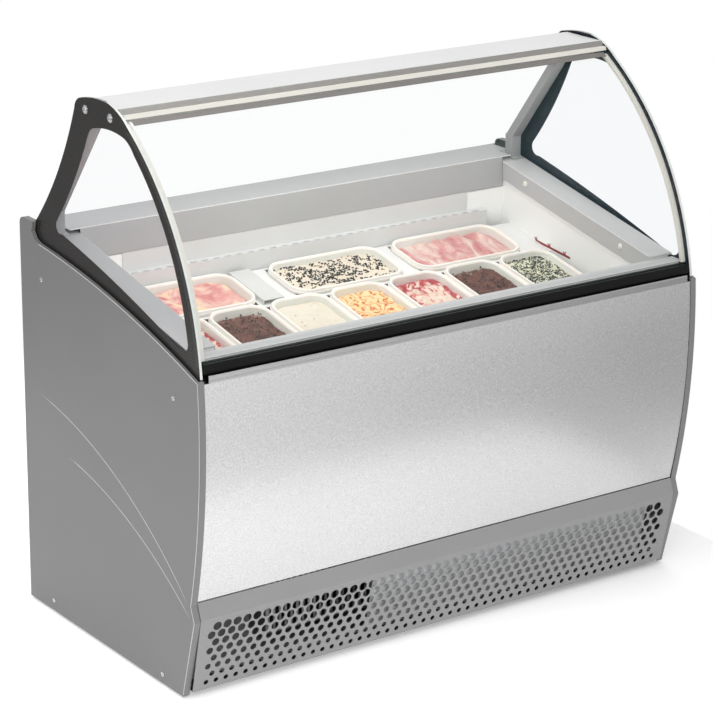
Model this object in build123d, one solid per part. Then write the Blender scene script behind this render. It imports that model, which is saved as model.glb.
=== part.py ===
"""Ten-tub curved-glass ice-cream display freezer, built as separate named sub-parts.

Millimetres. +Z up, +X to the right seen from the customer side, the curved front glass faces -Y.
The origin is on the floor under the middle of the cabinet. Each function returns one sub-part in place.
"""
import math
import os

from build123d import *

# ---- overall cabinet -----------------------------------------------------------------------------
HALF_W = 660.0            # outer face of each side panel
REAR_Y = 360.0            # outer face of the rear panel
PANEL_DEPTH = 15.0        # how deep the folded edge of a side panel is
PANEL_T = 2.0             # side panel sheet
INNER_W = 644.0           # half width between the side panels
BODY_W = 634.0            # half width of the foamed body and of what sits on it
SHEET_T = 1.2             # stainless and rear sheet

# ---- side panel outline, in the (Y, Z) plane -----------------------------------------------------
FLOOR_GAP = 6.0
TOE = (-288.0, FLOOR_GAP)
FOLD_LOW = (-334.0, 187.0)
FOLD_HIGH = (-322.0, 221.0)
BULGE = (-357.5, 466.0)
FRONT_TOP = (-356.0, 711.0)
CREST = (-39.0, 799.0)
NOTCH_FRONT = (278.0, 849.0)
NOTCH_LOW = (296.0, 855.0)
NOTCH_BACK = (308.0, 870.0)
EAR_FRONT = (303.0, 892.0)
EAR_TOP = 893.0
EAR_R = 15.0

# ---- glass ---------------------------------------------------------------------------------------
ARC_Y = 291.3             # centre of the front curve
ARC_Z = 633.1
END_GLASS_R = 649.0       # front edge of the end glasses
GLASS_R = 645.0           # outer face of the curved front glass
GLASS_T = 6.0
END_GLASS_X = 643.0       # outer face of an end glass, at the height of the canopy
GLASS_IN = END_GLASS_X - GLASS_T
LEAN = 1.07               # degrees that the end glasses spread outwards going down
FRONT_GLASS_HALF = 635.0  # at the top edge; the side edges spread with the end glasses
GLASS_TOP_Z = 1180.0
GLASS_FOOT_Z = 736.0
SEAL_T = 6.0
SEAL_W = 12.0

# ---- hinge of the front glass --------------------------------------------------------------------
HINGE_Y = -340.0
HINGE_Z = 729.5
CLAMP_R = 10.0
CLAMP_TOP = 745.0
CLAMP_HALF = 643.0
KNUCKLE_X = 400.0
KNUCKLE_W = 8.0
KNUCKLE_R = 5.5
PIN_R = 2.5
RUN_CLEAR = 0.05

# ---- inclined display plane ----------------------------------------------------------------------
SLOPE = 0.205             # rise of the tub plane per unit of depth
TILT = math.degrees(math.atan(SLOPE))
TUB_PLANE_Z = 690.0       # height of the tub rims at Y = 0
RIM_Z = 818.0             # height of the side rims at Y = 0
RIM_INNER = 580.0
RIM_OUTER = 642.0
RIM_REAR = 286.0
RIM_FACE = 43.0

# ---- tank ----------------------------------------------------------------------------------------
TANK_X = 582.0
TANK_FRONT = -292.0
TANK_REAR = 245.0
TANK_FLOOR = 440.0
BODY_FLOOR = 375.0
BODY_FRONT = -333.0
FRONT_RIM_Z = 750.0
LINER_T = 1.5
SHELF_Z = 879.0
SHELF_FRONT = 243.0
SHELF_REAR = 356.0
SHELF_FACE = 72.0

# ---- air duct on the tank's rear wall ------------------------------------------------------------
DUCT_FRONT = 221.0
DUCT_TOP = 762.5
DUCT_HALF = 516.0
DUCT_FOOT = 560.0
DUCT_SHEET = 1.5

# ---- tubs ----------------------------------------------------------------------------------------
TUB_L = 305.0
TUB_W = 153.0
TUB_H = 116.0
TUB_WALL = 2.0
TUB_LIP = 8.0
TUB_LIP_T = 9.0
TUB_R = 42.0
TUB_TAPER = 5.0
FRONT_PITCH = 159.0
FRONT_MIDDLE = 7.0        # X of the middle tub of the front row
FRONT_COUNT = 7
REAR_CENTRES = (-377.0, 21.0, 362.0)
FRONT_ROW_BACK = 62.0     # measured along the inclined plane
REAR_ROW_FRONT = 66.0
RAIL_DEPTH = TUB_LIP_T + 4.3

# ---- base grille ---------------------------------------------------------------------------------
GRILLE_T = 1.5
GRILLE_BOTTOM = (-299.0, 16.0)
HOLE_ROWS = 8
HOLE_FIRST = 23.0         # first row below the fold
HOLE_STEP = 19.6
HOLE_PITCH = 24.53
HOLE_D_TOP = 20.0
HOLE_D_STEP = 1.25        # each lower row is this much smaller

# ---- canopy --------------------------------------------------------------------------------------
CANOPY_TOP = 1198.0
CANOPY_FRONT = -28.0
CANOPY_REAR = 92.0
CANOPY_HALF = GLASS_IN - 0.5
BOLT_POINTS = ((93.0, 1176.0), (-7.0, 1177.0))
BOLT_HEAD_R = 9.5
BOLT_R = 4.0
POST_X0 = BODY_W - 24     # inner face of a post

# ---- machinery bay -------------------------------------------------------------------------------
TRAY_Z = 34.0
TRAY_T = 3.0
FAN_X = -250.0
FAN_Y = -95.0
FAN_Z = 200.0
FAN_R = 100.0
SWITCH_X = 510.0
SWITCH_Y = 346.0
CONTROL_Y = 361.4        # outer face of the control fascia
SWITCH_Z = 640.0


def prism(points, x0, x1):
    """Straight-sided outline in (Y, Z), extruded along X from x0 to x1."""
    face = make_face(Polyline(*[(0, y, z) for y, z in points], close=True))
    return Pos(x0, 0, 0) * extrude(face, amount=x1 - x0, dir=(1, 0, 0))


def slab(x0, x1, y0, y1, z0, z1):
    """Axis-aligned block from its corner values."""
    return Pos((x0 + x1) / 2, (y0 + y1) / 2, (z0 + z1) / 2) * Box(abs(x1 - x0), y1 - y0, z1 - z0)


def rod_x(radius, x0, x1, y, z):
    """Round bar along X."""
    return Pos((x0 + x1) / 2, y, z) * Rot(0, 90, 0) * Cylinder(radius, abs(x1 - x0))


def rod_y(radius, y0, y1, x, z):
    """Round bar along Y."""
    return Pos(x, (y0 + y1) / 2, z) * Rot(90, 0, 0) * Cylinder(radius, y1 - y0)


def arc_y(radius, z):
    """Y of the front curve of this radius at height z."""
    return ARC_Y - math.sqrt(radius ** 2 - (z - ARC_Z) ** 2)


def arc_edge(radius, z0, z1):
    """Edge of the front curve between two heights."""
    zm = (z0 + z1) / 2
    return ThreePointArc((0, arc_y(radius, z0), z0), (0, arc_y(radius, zm), zm), (0, arc_y(radius, z1), z1))


def arc_strip(r_out, r_in, z0, z1, x0, x1):
    """Curved strip between two radii of the front curve."""
    outer = arc_edge(r_out, z0, z1)
    inner = arc_edge(r_in, z0, z1)
    foot = Line(inner @ 0, outer @ 0)
    head = Line(outer @ 1, inner @ 1)
    face = make_face([outer, head, inner, foot])
    return Pos(x0, 0, 0) * extrude(face, amount=x1 - x0, dir=(1, 0, 0))


def lean(shape):
    """Tip a right-hand shape outwards about the top of its end glass, like the glass itself."""
    return Pos(END_GLASS_X, 0, GLASS_TOP_Z) * Rot(0, -LEAN, 0) * Pos(-END_GLASS_X, 0, -GLASS_TOP_Z) * shape


def spread(half, z):
    """Half width at height z of an edge that follows the end glasses."""
    return half + (GLASS_TOP_Z - z) * math.tan(math.radians(LEAN))


def between_edges(left, right, z0, z1):
    """Block between two edges, given as half widths at the top, that spread with the end glasses."""
    corners = [(spread(left, z0), z0), (spread(right, z0), z0),
               (spread(right, z1), z1), (spread(left, z1), z1)]
    face = make_face(Polyline(*[(x, -600, z) for x, z in corners], close=True))
    return extrude(face, amount=900, dir=(0, 1, 0))


def on_slope(y, z_at_zero):
    """Height of a line parallel to the tub plane."""
    return z_at_zero + SLOPE * y


# ---- side panels ---------------------------------------------------------------------------------
def panel_face(inset=0.0):
    """Outline of a side panel, optionally pulled in on every folded edge."""
    def p(point, dy=0.0, dz=0.0):
        return (0, point[0] + dy * inset, point[1] + dz * inset)

    ear_back = (0, REAR_Y - inset, EAR_TOP - EAR_R)
    ear_mid = (0, REAR_Y - EAR_R * 0.293 - inset * 0.7, EAR_TOP - EAR_R * 0.293 - inset * 0.7)
    ear_top = (0, REAR_Y - EAR_R, EAR_TOP - inset)
    foot_rear = (0, REAR_Y - inset, FLOOR_GAP)
    edges = [
        Line(p(TOE, 1), p(FOLD_LOW, 1)),
        Line(p(FOLD_LOW, 1), p(FOLD_HIGH, 1)),
        ThreePointArc(p(FOLD_HIGH, 1), p(BULGE, 1), p(FRONT_TOP, 1, -1)),
        ThreePointArc(p(FRONT_TOP, 1, -1), p(CREST, 0, -1), p(NOTCH_FRONT, 0, -1)),
        Line(p(NOTCH_FRONT, 0, -1), p(NOTCH_LOW, 0.5, -1)),
        Line(p(NOTCH_LOW, 0.5, -1), p(NOTCH_BACK, 1, -0.4)),
        Line(p(NOTCH_BACK, 1, -0.4), p(EAR_FRONT, 1, -1)),
        Line(p(EAR_FRONT, 1, -1), ear_top),
        ThreePointArc(ear_top, ear_mid, ear_back),
        Line(ear_back, foot_rear),
        Line(foot_rear, p(TOE, 1)),
    ]
    return make_face(edges)


def side_panel(side):
    """Painted sheet-steel side, folded inwards along its front, top and rear edges."""
    x_in = HALF_W - PANEL_DEPTH
    body = Pos(x_in, 0, 0) * extrude(panel_face(), amount=PANEL_DEPTH, dir=(1, 0, 0))
    pocket = Pos(x_in, 0, 0) * extrude(panel_face(PANEL_T), amount=PANEL_DEPTH - PANEL_T, dir=(1, 0, 0))
    for y, z in screw_points():
        body -= rod_x(2.6, x_in, HALF_W, y, z)
    reach = END_GLASS_X + 2 - x_in + 10
    slot = lean(Pos(x_in - 10, 0, 0) * extrude(end_glass_face(), amount=reach, dir=(1, 0, 0)))
    panel = body - pocket - slot
    return panel if side > 0 else mirror(panel, about=Plane.YZ)


def screw_points():
    """Fixing screws of a side panel, (Y, Z)."""
    return ((270.0, 771.0), (-264.0, 655.0), (253.0, 31.0), (-207.0, 27.0))


def side_screws():
    """Pan-head screws through both side panels into the frame behind them."""
    screws = []
    for side in (-1, 1):
        for y, z in screw_points():
            head = rod_x(5.5, side * HALF_W, side * (HALF_W + 2.2), y, z)
            shank = rod_x(2.6, side * (HALF_W - PANEL_T), side * HALF_W, y, z)
            screws.append(head + shank)
    return screws


def side_frames():
    """Upright bars and a short block that the side panels screw to, on each side."""
    bars = []
    for side in (-1, 1):
        for y, z0, z1 in ((-264.0, 15.0, 690.0), (262.0, 15.0, 800.0), (-207.0, 15.0, 55.0)):
            a = side * BODY_W
            b = side * (HALF_W - PANEL_T)
            bars.append(slab(a, b, y - 14, y + 14, z0, z1))
    return bars


# ---- front and base ------------------------------------------------------------------------------
def front_panel():
    """Gently curved stainless front between the side panels."""
    top = (-355.0, 706.0)
    mid = (-356.0, 466.0)
    low = (-320.5, 227.0)
    outer = ThreePointArc((0, *low), (0, *mid), (0, *top))
    inner = ThreePointArc(*[(0, y + SHEET_T, z) for y, z in (low, mid, top)])
    face = make_face([outer, Line(outer @ 1, inner @ 1), inner, Line(inner @ 0, outer @ 0)])
    sheet = Pos(-INNER_W, 0, 0) * extrude(face, amount=2 * INNER_W, dir=(1, 0, 0))
    hem_top = slab(-BODY_W, BODY_W, top[0] + 0.4, BODY_FRONT, top[1] - SHEET_T, top[1])
    hem_low = slab(-INNER_W, INNER_W, low[0] + 0.4, low[0] + 16, low[1], low[1] + SHEET_T)
    return sheet + hem_top + hem_low


def trim_profile():
    """Bright profile along the top of the stainless panel, with a fine groove in its face."""
    z0 = 706.0
    z1 = 718.5
    bar = prism([(-356.5, z0), (-356.5, z1 + 1), (-354.5, z1 + 3), (-352, z1 + 3), (-351, z1),
                 (-334, z1), (-334, z1 - 3), (-340, z0)], -BODY_W, BODY_W)
    bar -= slab(-BODY_W, BODY_W, -358, -355.3, z0 + 5.2, z0 + 6.8)
    return bar


def base_grille():
    """Folded, perforated base cover: a plain strip leaning out, then the pierced face slanting back."""
    fold = (-334.5, 189.3)
    top = (-322.0, 225.0)
    outer = [top, fold, GRILLE_BOTTOM]
    t = GRILLE_T
    inner = [(GRILLE_BOTTOM[0] + t, GRILLE_BOTTOM[1]), (fold[0] + t, fold[1] + 0.2), (top[0] + t, top[1])]
    sheet = prism(outer + inner, -INNER_W, INNER_W)
    dy = GRILLE_BOTTOM[0] - fold[0]
    dz = GRILLE_BOTTOM[1] - fold[1]
    length = math.hypot(dy, dz)
    plane = Plane(origin=(0, *fold), x_dir=(1, 0, 0), z_dir=(0, dz / length, -dy / length))
    down = 1 if plane.y_dir.Z < 0 else -1
    with BuildSketch(plane) as holes:
        for row in range(HOLE_ROWS):
            count = 50 + row % 2
            middle = (count - 1) / 2
            s = HOLE_FIRST + HOLE_STEP * row
            with Locations(*[((i - middle) * HOLE_PITCH, down * s) for i in range(count)]):
                Circle((HOLE_D_TOP - HOLE_D_STEP * row) / 2)
    return sheet - extrude(holes.sketch, amount=8, both=True)


def grille_baffle():
    """Plain plate close behind the middle of the grille, steering air to the condenser."""
    return prism([(-318, 176), (-316, 176), (-288, 50), (-290, 50)], -198, 580)


def feet():
    """Four levelling feet: a round pad and its threaded stem."""
    out = []
    for x in (-560, 560):
        for y in (-215, 285):
            pad = Pos(x, y, 5) * Cylinder(22, 10)
            stem = Pos(x, y, 22) * Cylinder(6, 24)
            out.append(pad + stem)
    return out


def base_tray():
    """Base plate with two stiffening channels under it, carrying the machinery."""
    plate = slab(-BODY_W, BODY_W, -275, 345, TRAY_Z, TRAY_Z + TRAY_T)
    rails = [slab(-BODY_W, BODY_W, y - 18, y + 18, TRAY_Z - 10, TRAY_Z) for y in (-215, 285)]
    stems = [Pos(x, y, TRAY_Z - 4) * Cylinder(6, 30) for x in (-560, 560) for y in (-215, 285)]
    tray = plate + rails[0] + rails[1]
    for stem in stems:
        tray -= stem
    return tray


def bay_walls():
    """Upright walls at both ends of the machinery bay, carrying the foamed body."""
    z0 = TRAY_Z + TRAY_T
    left = slab(-BODY_W, -BODY_W + 2, -270, 340, z0, BODY_FLOOR)
    return [left, mirror(left, about=Plane.YZ)]


# ---- foamed body and liner -----------------------------------------------------------------------
def body_outline():
    """Side outline of the foamed body."""
    drop = RIM_Z - 4.0
    return [(BODY_FRONT, BODY_FLOOR), (BODY_FRONT, FRONT_RIM_Z - 32), (-329, FRONT_RIM_Z - 30),
            (-329, FRONT_RIM_Z - 3), (TANK_FRONT, FRONT_RIM_Z - 3),
            (TANK_FRONT, on_slope(TANK_FRONT, drop)), (TANK_REAR, on_slope(TANK_REAR, drop)),
            (TANK_REAR, SHELF_Z - 16), (REAR_Y - 3, SHELF_Z - 16), (REAR_Y - 3, BODY_FLOOR)]


def insulated_body():
    """Foamed cabinet body around the tank."""
    block = prism(body_outline(), -BODY_W + 3, BODY_W - 3)
    tank = slab(-TANK_X - LINER_T, TANK_X + LINER_T, TANK_FRONT - LINER_T, TANK_REAR + LINER_T,
                TANK_FLOOR - LINER_T, 1000)
    front_step = slab(-700, 700, -400, TANK_FRONT, FRONT_RIM_Z - 3, 1000)
    control_recess = slab(381, 559, 320, REAR_Y, 596, 684)
    return block - tank - front_step - control_recess


def tank_liner():
    """White inner liner: a thin open tank."""
    outer = slab(-TANK_X - LINER_T, TANK_X + LINER_T, TANK_FRONT - LINER_T, TANK_REAR + LINER_T,
                 TANK_FLOOR - LINER_T, 1000)
    inner = slab(-TANK_X, TANK_X, TANK_FRONT, TANK_REAR, TANK_FLOOR, 1000)
    drop = RIM_Z - 4.0
    keep = prism([(-400, 300), (-400, FRONT_RIM_Z - 3), (TANK_FRONT, FRONT_RIM_Z - 3),
                  (TANK_FRONT, on_slope(TANK_FRONT, drop)), (TANK_REAR, on_slope(TANK_REAR, drop)),
                  (TANK_REAR, SHELF_Z - SHELF_FACE - 2), (400, SHELF_Z - SHELF_FACE - 2), (400, 300)],
                 -700, 700)
    return (outer - inner) & keep


def rim_side(side):
    """Inclined rim along one side: top plate and its inner face."""
    y0 = TANK_FRONT
    y1 = RIM_REAR
    y2 = SHELF_FRONT - 0.5
    top = prism([(y0, on_slope(y0, RIM_Z - 4)), (y0, on_slope(y0, RIM_Z)), (y1, on_slope(y1, RIM_Z)),
                 (y1, on_slope(y1, RIM_Z - 4))], RIM_INNER - 3, RIM_OUTER)
    face = prism([(y0, on_slope(y0, RIM_Z - RIM_FACE)), (y0, on_slope(y0, RIM_Z - 4)),
                  (y2, on_slope(y2, RIM_Z - 4)), (y2, on_slope(y2, RIM_Z - RIM_FACE))],
                 RIM_INNER - 3, RIM_INNER + 2)
    rim = top + face
    for y in (155.0, -191.0):
        rim -= rod_x(3.0, RIM_INNER - 4, RIM_INNER + 1, y, on_slope(y, RIM_Z - 20))
    return rim if side > 0 else mirror(rim, about=Plane.YZ)


def rim_front():
    """Front rim on top of the tank's front wall."""
    half = RIM_INNER - 3.5
    top = slab(-RIM_OUTER, RIM_OUTER, -329, TANK_FRONT, FRONT_RIM_Z - 3, FRONT_RIM_Z)
    face = slab(-half, half, TANK_FRONT, TANK_FRONT + 3, FRONT_RIM_Z - 36, FRONT_RIM_Z)
    return top + face


def rim_plugs():
    """Domed plugs in the inner faces of the side rims."""
    plugs = []
    for side in (-1, 1):
        for y in (155.0, -191.0):
            z = on_slope(y, RIM_Z - 20)
            a = side * (RIM_INNER - 3)
            head = rod_x(7.0, a, a - side * 3, y, z)
            stem = rod_x(3.0, a, a + side * 4, y, z)
            plugs.append(head + stem)
    return plugs


def rear_shelf():
    """Folded serving shelf behind the tank: top, front face and rear lip."""
    half = RIM_INNER - 3.5
    y0 = SHELF_FRONT
    top = slab(-POST_X0 + 7, POST_X0 - 7, y0, SHELF_REAR, SHELF_Z - 2, SHELF_Z)
    top += slab(-BODY_W, BODY_W, RIM_REAR + 2, SHELF_REAR, SHELF_Z - 2, SHELF_Z)
    face = slab(-half, half, y0, y0 + 2, SHELF_Z - SHELF_FACE, SHELF_Z - 2)
    lip = slab(-half, half, SHELF_REAR - 2, SHELF_REAR, SHELF_Z - 14, SHELF_Z - 2)
    return top + face + lip


def evaporator_cover():
    """Air duct on the tank's rear wall: front plate, slotted ledge, upper plate and closed ends."""
    t = DUCT_SHEET
    y0 = DUCT_FRONT
    y1 = TANK_REAR - 0.3
    front = slab(-DUCT_HALF, DUCT_HALF, y0, y0 + t, DUCT_FOOT, DUCT_TOP)
    ledge = slab(-DUCT_HALF, DUCT_HALF, y0, y1, DUCT_TOP - t, DUCT_TOP)
    upper = slab(-DUCT_HALF + 43, DUCT_HALF - 43, y1 - t, y1, DUCT_TOP - t, SHELF_Z - SHELF_FACE - 0.5)
    cover = front + ledge + upper
    for x in (-DUCT_HALF, DUCT_HALF - t):
        cover += slab(x, x + t, y0, y1, DUCT_FOOT, DUCT_TOP)
    with BuildSketch(Plane.XY.offset(DUCT_TOP)) as slots:
        with Locations((0, y0 + 6)):
            with GridLocations(30.3, 1, 33, 1):
                SlotOverall(18, 6)
    return cover - extrude(slots.sketch, amount=4, both=True)


def evaporator_coil():
    """Finned cold coil inside the air duct: pipe runs, fins and two end plates."""
    y0 = DUCT_FRONT + 4
    y1 = TANK_REAR - 3
    coil = slab(-482, -480, y0, y1, 590, 745) + slab(480, 482, y0, y1, 590, 745)
    for i in range(31):
        x = -465 + 31 * i
        coil += slab(x - 0.5, x + 0.5, y0, y1, 590, 745)
    for i in range(6):
        coil += rod_x(4, -490, 490, (y0 + y1) / 2, 604 + 25 * i)
    return coil


def pan_rails():
    """Inclined support bars that carry the tub rims: front, middle and rear rails plus cross strips."""
    top = -RAIL_DEPTH
    low = top - 3
    bars = []
    spans = ((-286.0, FRONT_ROW_BACK - TUB_L + 6), (FRONT_ROW_BACK - 6, REAR_ROW_FRONT + 6),
             (213.0, 219.5))
    for s0, s1 in spans:
        bars.append(incline(slab(-TANK_X, TANK_X, s0, s1, low, top)))
    reach = TUB_L / 2 - TUB_LIP + 2
    starts = [-TANK_X] + [x + reach for x in REAR_CENTRES]
    ends = [x - reach for x in REAR_CENTRES] + [TANK_X]
    for x0, x1 in zip(starts, ends):
        bars.append(incline(slab(x0, x1, REAR_ROW_FRONT + 6, 213.0, low, top)))
    return bars


def filler_strip():
    """White folded strip that fills the wide gap between two tubs of the rear row."""
    x0 = REAR_CENTRES[0] + TUB_L / 2 + 3
    x1 = x0 + 54
    top = slab(x0, x1, REAR_ROW_FRONT + 2, 214, -5, -3)
    legs = slab(x0, x0 + 2, REAR_ROW_FRONT + 2, 214, -RAIL_DEPTH, -5)
    legs += slab(x1 - 2, x1, REAR_ROW_FRONT + 2, 214, -RAIL_DEPTH, -5)
    return incline(top + legs)


def incline(shape):
    """Place a shape drawn flat (Z = 0 at the tub rims) on the inclined display plane."""
    return Pos(0, 0, TUB_PLANE_Z) * Rot(TILT, 0, 0) * shape


def rounded_box(length_x, length_y, z0, z1, radius, taper=0.0):
    """Upright tub-like block with rounded corners, narrower at z0 by taper degrees."""
    with BuildPart() as part:
        with BuildSketch(Plane.XY.offset(z1)):
            RectangleRounded(length_x, length_y, radius)
        extrude(amount=-(z1 - z0), taper=taper)
    return part.part


def tub_shape(length_x, length_y):
    """One open plastic tub with a rolled rim, drawn flat."""
    bx = length_x - 2 * TUB_LIP
    by = length_y - 2 * TUB_LIP
    inner_x = bx - 2 * TUB_WALL
    inner_y = by - 2 * TUB_WALL
    inner_r = TUB_R - TUB_LIP - TUB_WALL
    shell = rounded_box(bx, by, -TUB_H, 0, TUB_R - TUB_LIP, TUB_TAPER)
    hollow = rounded_box(inner_x, inner_y, -TUB_H + TUB_WALL, 0, inner_r, TUB_TAPER)
    lip_out = rounded_box(length_x, length_y, -TUB_LIP_T - 4, 0, TUB_R)
    lip_under = rounded_box(length_x - 5, length_y - 5, -TUB_LIP_T - 4, -3, TUB_R - 2.5)
    lip_hole = rounded_box(inner_x, inner_y, -TUB_LIP_T - 5, 1, inner_r)
    lip = lip_out - lip_under - lip_hole
    return shell - hollow + lip


def front_tub(i):
    """Tub of the front row, its long side running front to back."""
    x = FRONT_MIDDLE + (i - (FRONT_COUNT - 1) / 2) * FRONT_PITCH
    return incline(Pos(x, FRONT_ROW_BACK - TUB_L / 2, 0) * tub_shape(TUB_W, TUB_L))


def rear_tub(i):
    """Tub of the rear row, its long side running across."""
    return incline(Pos(REAR_CENTRES[i], REAR_ROW_FRONT + TUB_W / 2, 0) * tub_shape(TUB_L, TUB_W))


# ---- rear ----------------------------------------------------------------------------------------
def rear_panel():
    """Upper rear skin with a cut-out for the control panel."""
    sheet = slab(-INNER_W, INNER_W, REAR_Y - 3, REAR_Y - 1.5, 385, SHELF_Z)
    return sheet - slab(380, 560, REAR_Y - 5, REAR_Y + 5, 595, 685)


def rear_grille():
    """Lower rear cover with rows of air slots."""
    sheet = slab(-INNER_W, INNER_W, REAR_Y - 3, REAR_Y - 1.5, 30, 382)
    with BuildSketch(Plane(origin=(0, REAR_Y, 0), x_dir=(1, 0, 0), z_dir=(0, -1, 0))) as slots:
        with Locations((0, 215)):
            with GridLocations(150, 24, 8, 11):
                SlotOverall(120, 9)
        with Locations((560, 70)):
            Circle(9.2)
    return sheet - extrude(slots.sketch, amount=10, both=True)


def control_panel():
    """Plastic control fascia with a blank display window and a switch opening."""
    fascia = slab(372, 568, REAR_Y - 1.5, CONTROL_Y, 588, 692) + slab(382, 558, 350, REAR_Y - 1.5, 597, 683)
    fascia -= slab(402, 446, CONTROL_Y - 1.4, CONTROL_Y + 1, 626, 654)
    opening = slab(SWITCH_X - 11, SWITCH_X + 11, 340, CONTROL_Y + 1, SWITCH_Z - 15.5, SWITCH_Z + 15.5)
    return fascia - opening


def display_window():
    """Dark window of the temperature display."""
    return slab(402, 446, CONTROL_Y - 1.4, CONTROL_Y - 0.2, 626, 654)


def rocker_switch():
    """Mains rocker resting in its off position: a drum segment on two stub pivots."""
    y = SWITCH_Y
    drum = rod_x(14.5, SWITCH_X - 10, SWITCH_X + 10, y, SWITCH_Z)
    outline = [(y - 8, SWITCH_Z - 20), (y + 15.5, SWITCH_Z - 20), (y + 12.5, SWITCH_Z),
               (y + 15.5, SWITCH_Z + 20), (y - 8, SWITCH_Z + 20)]
    keep = prism(outline, SWITCH_X - 10, SWITCH_X + 10)
    stubs = rod_x(1.5, SWITCH_X - 13.5, SWITCH_X + 13.5, y, SWITCH_Z)
    rocker = (drum & keep) + stubs
    return Pos(0, y, SWITCH_Z) * Rot(-10, 0, 0) * Pos(0, -y, -SWITCH_Z) * rocker


def switch_box():
    """Housing behind the fascia that the rocker pivots in."""
    y0 = 322.0
    y1 = 350.0
    shell = slab(SWITCH_X - 14, SWITCH_X + 14, y0, y1, SWITCH_Z - 18.5, SWITCH_Z + 18.5)
    shell -= slab(SWITCH_X - 11, SWITCH_X + 11, y0 + 3, REAR_Y, SWITCH_Z - 15.5, SWITCH_Z + 15.5)
    return shell - rod_x(1.5 + RUN_CLEAR, SWITCH_X - 20, SWITCH_X + 20, SWITCH_Y, SWITCH_Z)


def cable_inlet():
    """Round cable gland in the rear grille."""
    collar = rod_y(14, REAR_Y - 1.5, CONTROL_Y, 560, 70)
    neck = rod_y(9, REAR_Y - 14, REAR_Y - 1.5, 560, 70)
    bore = rod_y(5, REAR_Y - 20, REAR_Y + 10, 560, 70)
    return collar + neck - bore


# ---- canopy and its posts ------------------------------------------------------------------------
def canopy_top():
    """Hollow-backed aluminium canopy along the top, with a groove below for the light."""
    bar = prism([(CANOPY_FRONT, CANOPY_TOP), (CANOPY_REAR, CANOPY_TOP), (CANOPY_REAR + 5, CANOPY_TOP - 5),
                 (CANOPY_REAR + 5, CANOPY_TOP - 38), (0, CANOPY_TOP - 38), (CANOPY_FRONT, CANOPY_TOP - 28)],
                -CANOPY_HALF, CANOPY_HALF)
    bar -= slab(-600, 600, 20, 52, CANOPY_TOP - 45, CANOPY_TOP - 20)
    bores = [lean(rod_x(BOLT_R, CANOPY_HALF - 18, CANOPY_HALF + 4, y, z)) for y, z in BOLT_POINTS]
    for bore in bores:
        bar -= bore
        bar -= mirror(bore, about=Plane.YZ)
    return bar


def canopy_front():
    """Brushed front profile of the canopy that the glass seal closes on."""
    outline = [(CANOPY_FRONT, CANOPY_TOP), (CANOPY_FRONT - 3, CANOPY_TOP - 1),
               (CANOPY_FRONT - 10, CANOPY_TOP - 10), (CANOPY_FRONT - 8, CANOPY_TOP - 26),
               (CANOPY_FRONT, CANOPY_TOP - 28)]
    return prism(outline, -CANOPY_HALF, CANOPY_HALF)


def light_diffuser():
    """Milky cover of the strip light under the canopy."""
    return slab(-599, 599, 21, 51, CANOPY_TOP - 36, CANOPY_TOP - 20)


def post(side):
    """Rear post: an upright foot on the rim, then an inclined bar up to the canopy."""
    x0 = POST_X0
    x1 = BODY_W + 2
    foot_y = 262.0
    knee = (foot_y, 925.0)
    head = (80.0, CANOPY_TOP - 38.0)
    w = 26.0
    near = knee[0] - w / 2
    far = knee[0] + w / 2
    upright = prism([(near, on_slope(near, RIM_Z)), (far, on_slope(far, RIM_Z)),
                     (far, knee[1]), (near, knee[1])], x0, x1)
    bar = prism([(near, knee[1] - 4), (far, knee[1] - 4), (head[0] + w / 2, head[1]),
                 (head[0] - w / 2, head[1])], x0, x1)
    front = foot_y - 24
    back = foot_y + 24
    plate = prism([(front, on_slope(front, RIM_Z)), (back, on_slope(back, RIM_Z)),
                   (back, on_slope(back, RIM_Z + 4)), (front, on_slope(front, RIM_Z + 4))], x0 - 5, x1)
    body = upright + bar + plate
    return body if side > 0 else mirror(body, about=Plane.YZ)


# ---- end glasses ---------------------------------------------------------------------------------
def end_glass_face():
    """Outline of an end glass; its front edge follows the curve of the front glass."""
    foot = (-343.0, 700.0)
    front_low = (arc_y(END_GLASS_R, 716.0), 716.0)
    shoulder = (arc_y(END_GLASS_R, 1168.0), 1168.0)
    edges = [
        Line((0, *foot), (0, *front_low)),
        arc_edge(END_GLASS_R, 716.0, 1168.0),
        ThreePointArc((0, *shoulder), (0, -30.0, 1196.0), (0, 8.0, 1206.5)),
        ThreePointArc((0, 8.0, 1206.5), (0, 62.0, 1206.0), (0, 115.0, 1197.0)),
        ThreePointArc((0, 115.0, 1197.0), (0, 131.0, 1188.0), (0, 139.0, 1171.0)),
        ThreePointArc((0, 139.0, 1171.0), (0, 211.0, 1020.6), (0, 312.0, 888.0)),
        ThreePointArc((0, 312.0, 888.0), (0, 327.0, 864.0), (0, 312.0, 843.0)),
        ThreePointArc((0, 312.0, 843.0), (0, -30.0, 792.0), (0, *foot)),
    ]
    return make_face(edges)


def end_glass(side):
    """Flat tempered end glass, leaning a little outwards towards its foot."""
    glass = Pos(GLASS_IN, 0, 0) * extrude(end_glass_face(), amount=GLASS_T, dir=(1, 0, 0))
    for y, z in BOLT_POINTS:
        glass -= rod_x(BOLT_R, GLASS_IN - 1, END_GLASS_X + 1, y, z)
    glass = lean(glass)
    return glass if side > 0 else mirror(glass, about=Plane.YZ)


def end_bolts():
    """Bolts with washers holding the end glasses to the canopy."""
    bolts = []
    for y, z in BOLT_POINTS:
        washer = rod_x(BOLT_HEAD_R, END_GLASS_X, END_GLASS_X + 1.5, y, z)
        head = rod_x(6.5, END_GLASS_X + 1.5, END_GLASS_X + 5, y, z)
        shank = rod_x(BOLT_R, CANOPY_HALF - 17, END_GLASS_X, y, z)
        bolt = lean(washer + head + shank)
        bolts += [bolt, mirror(bolt, about=Plane.YZ)]
    return bolts


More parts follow.
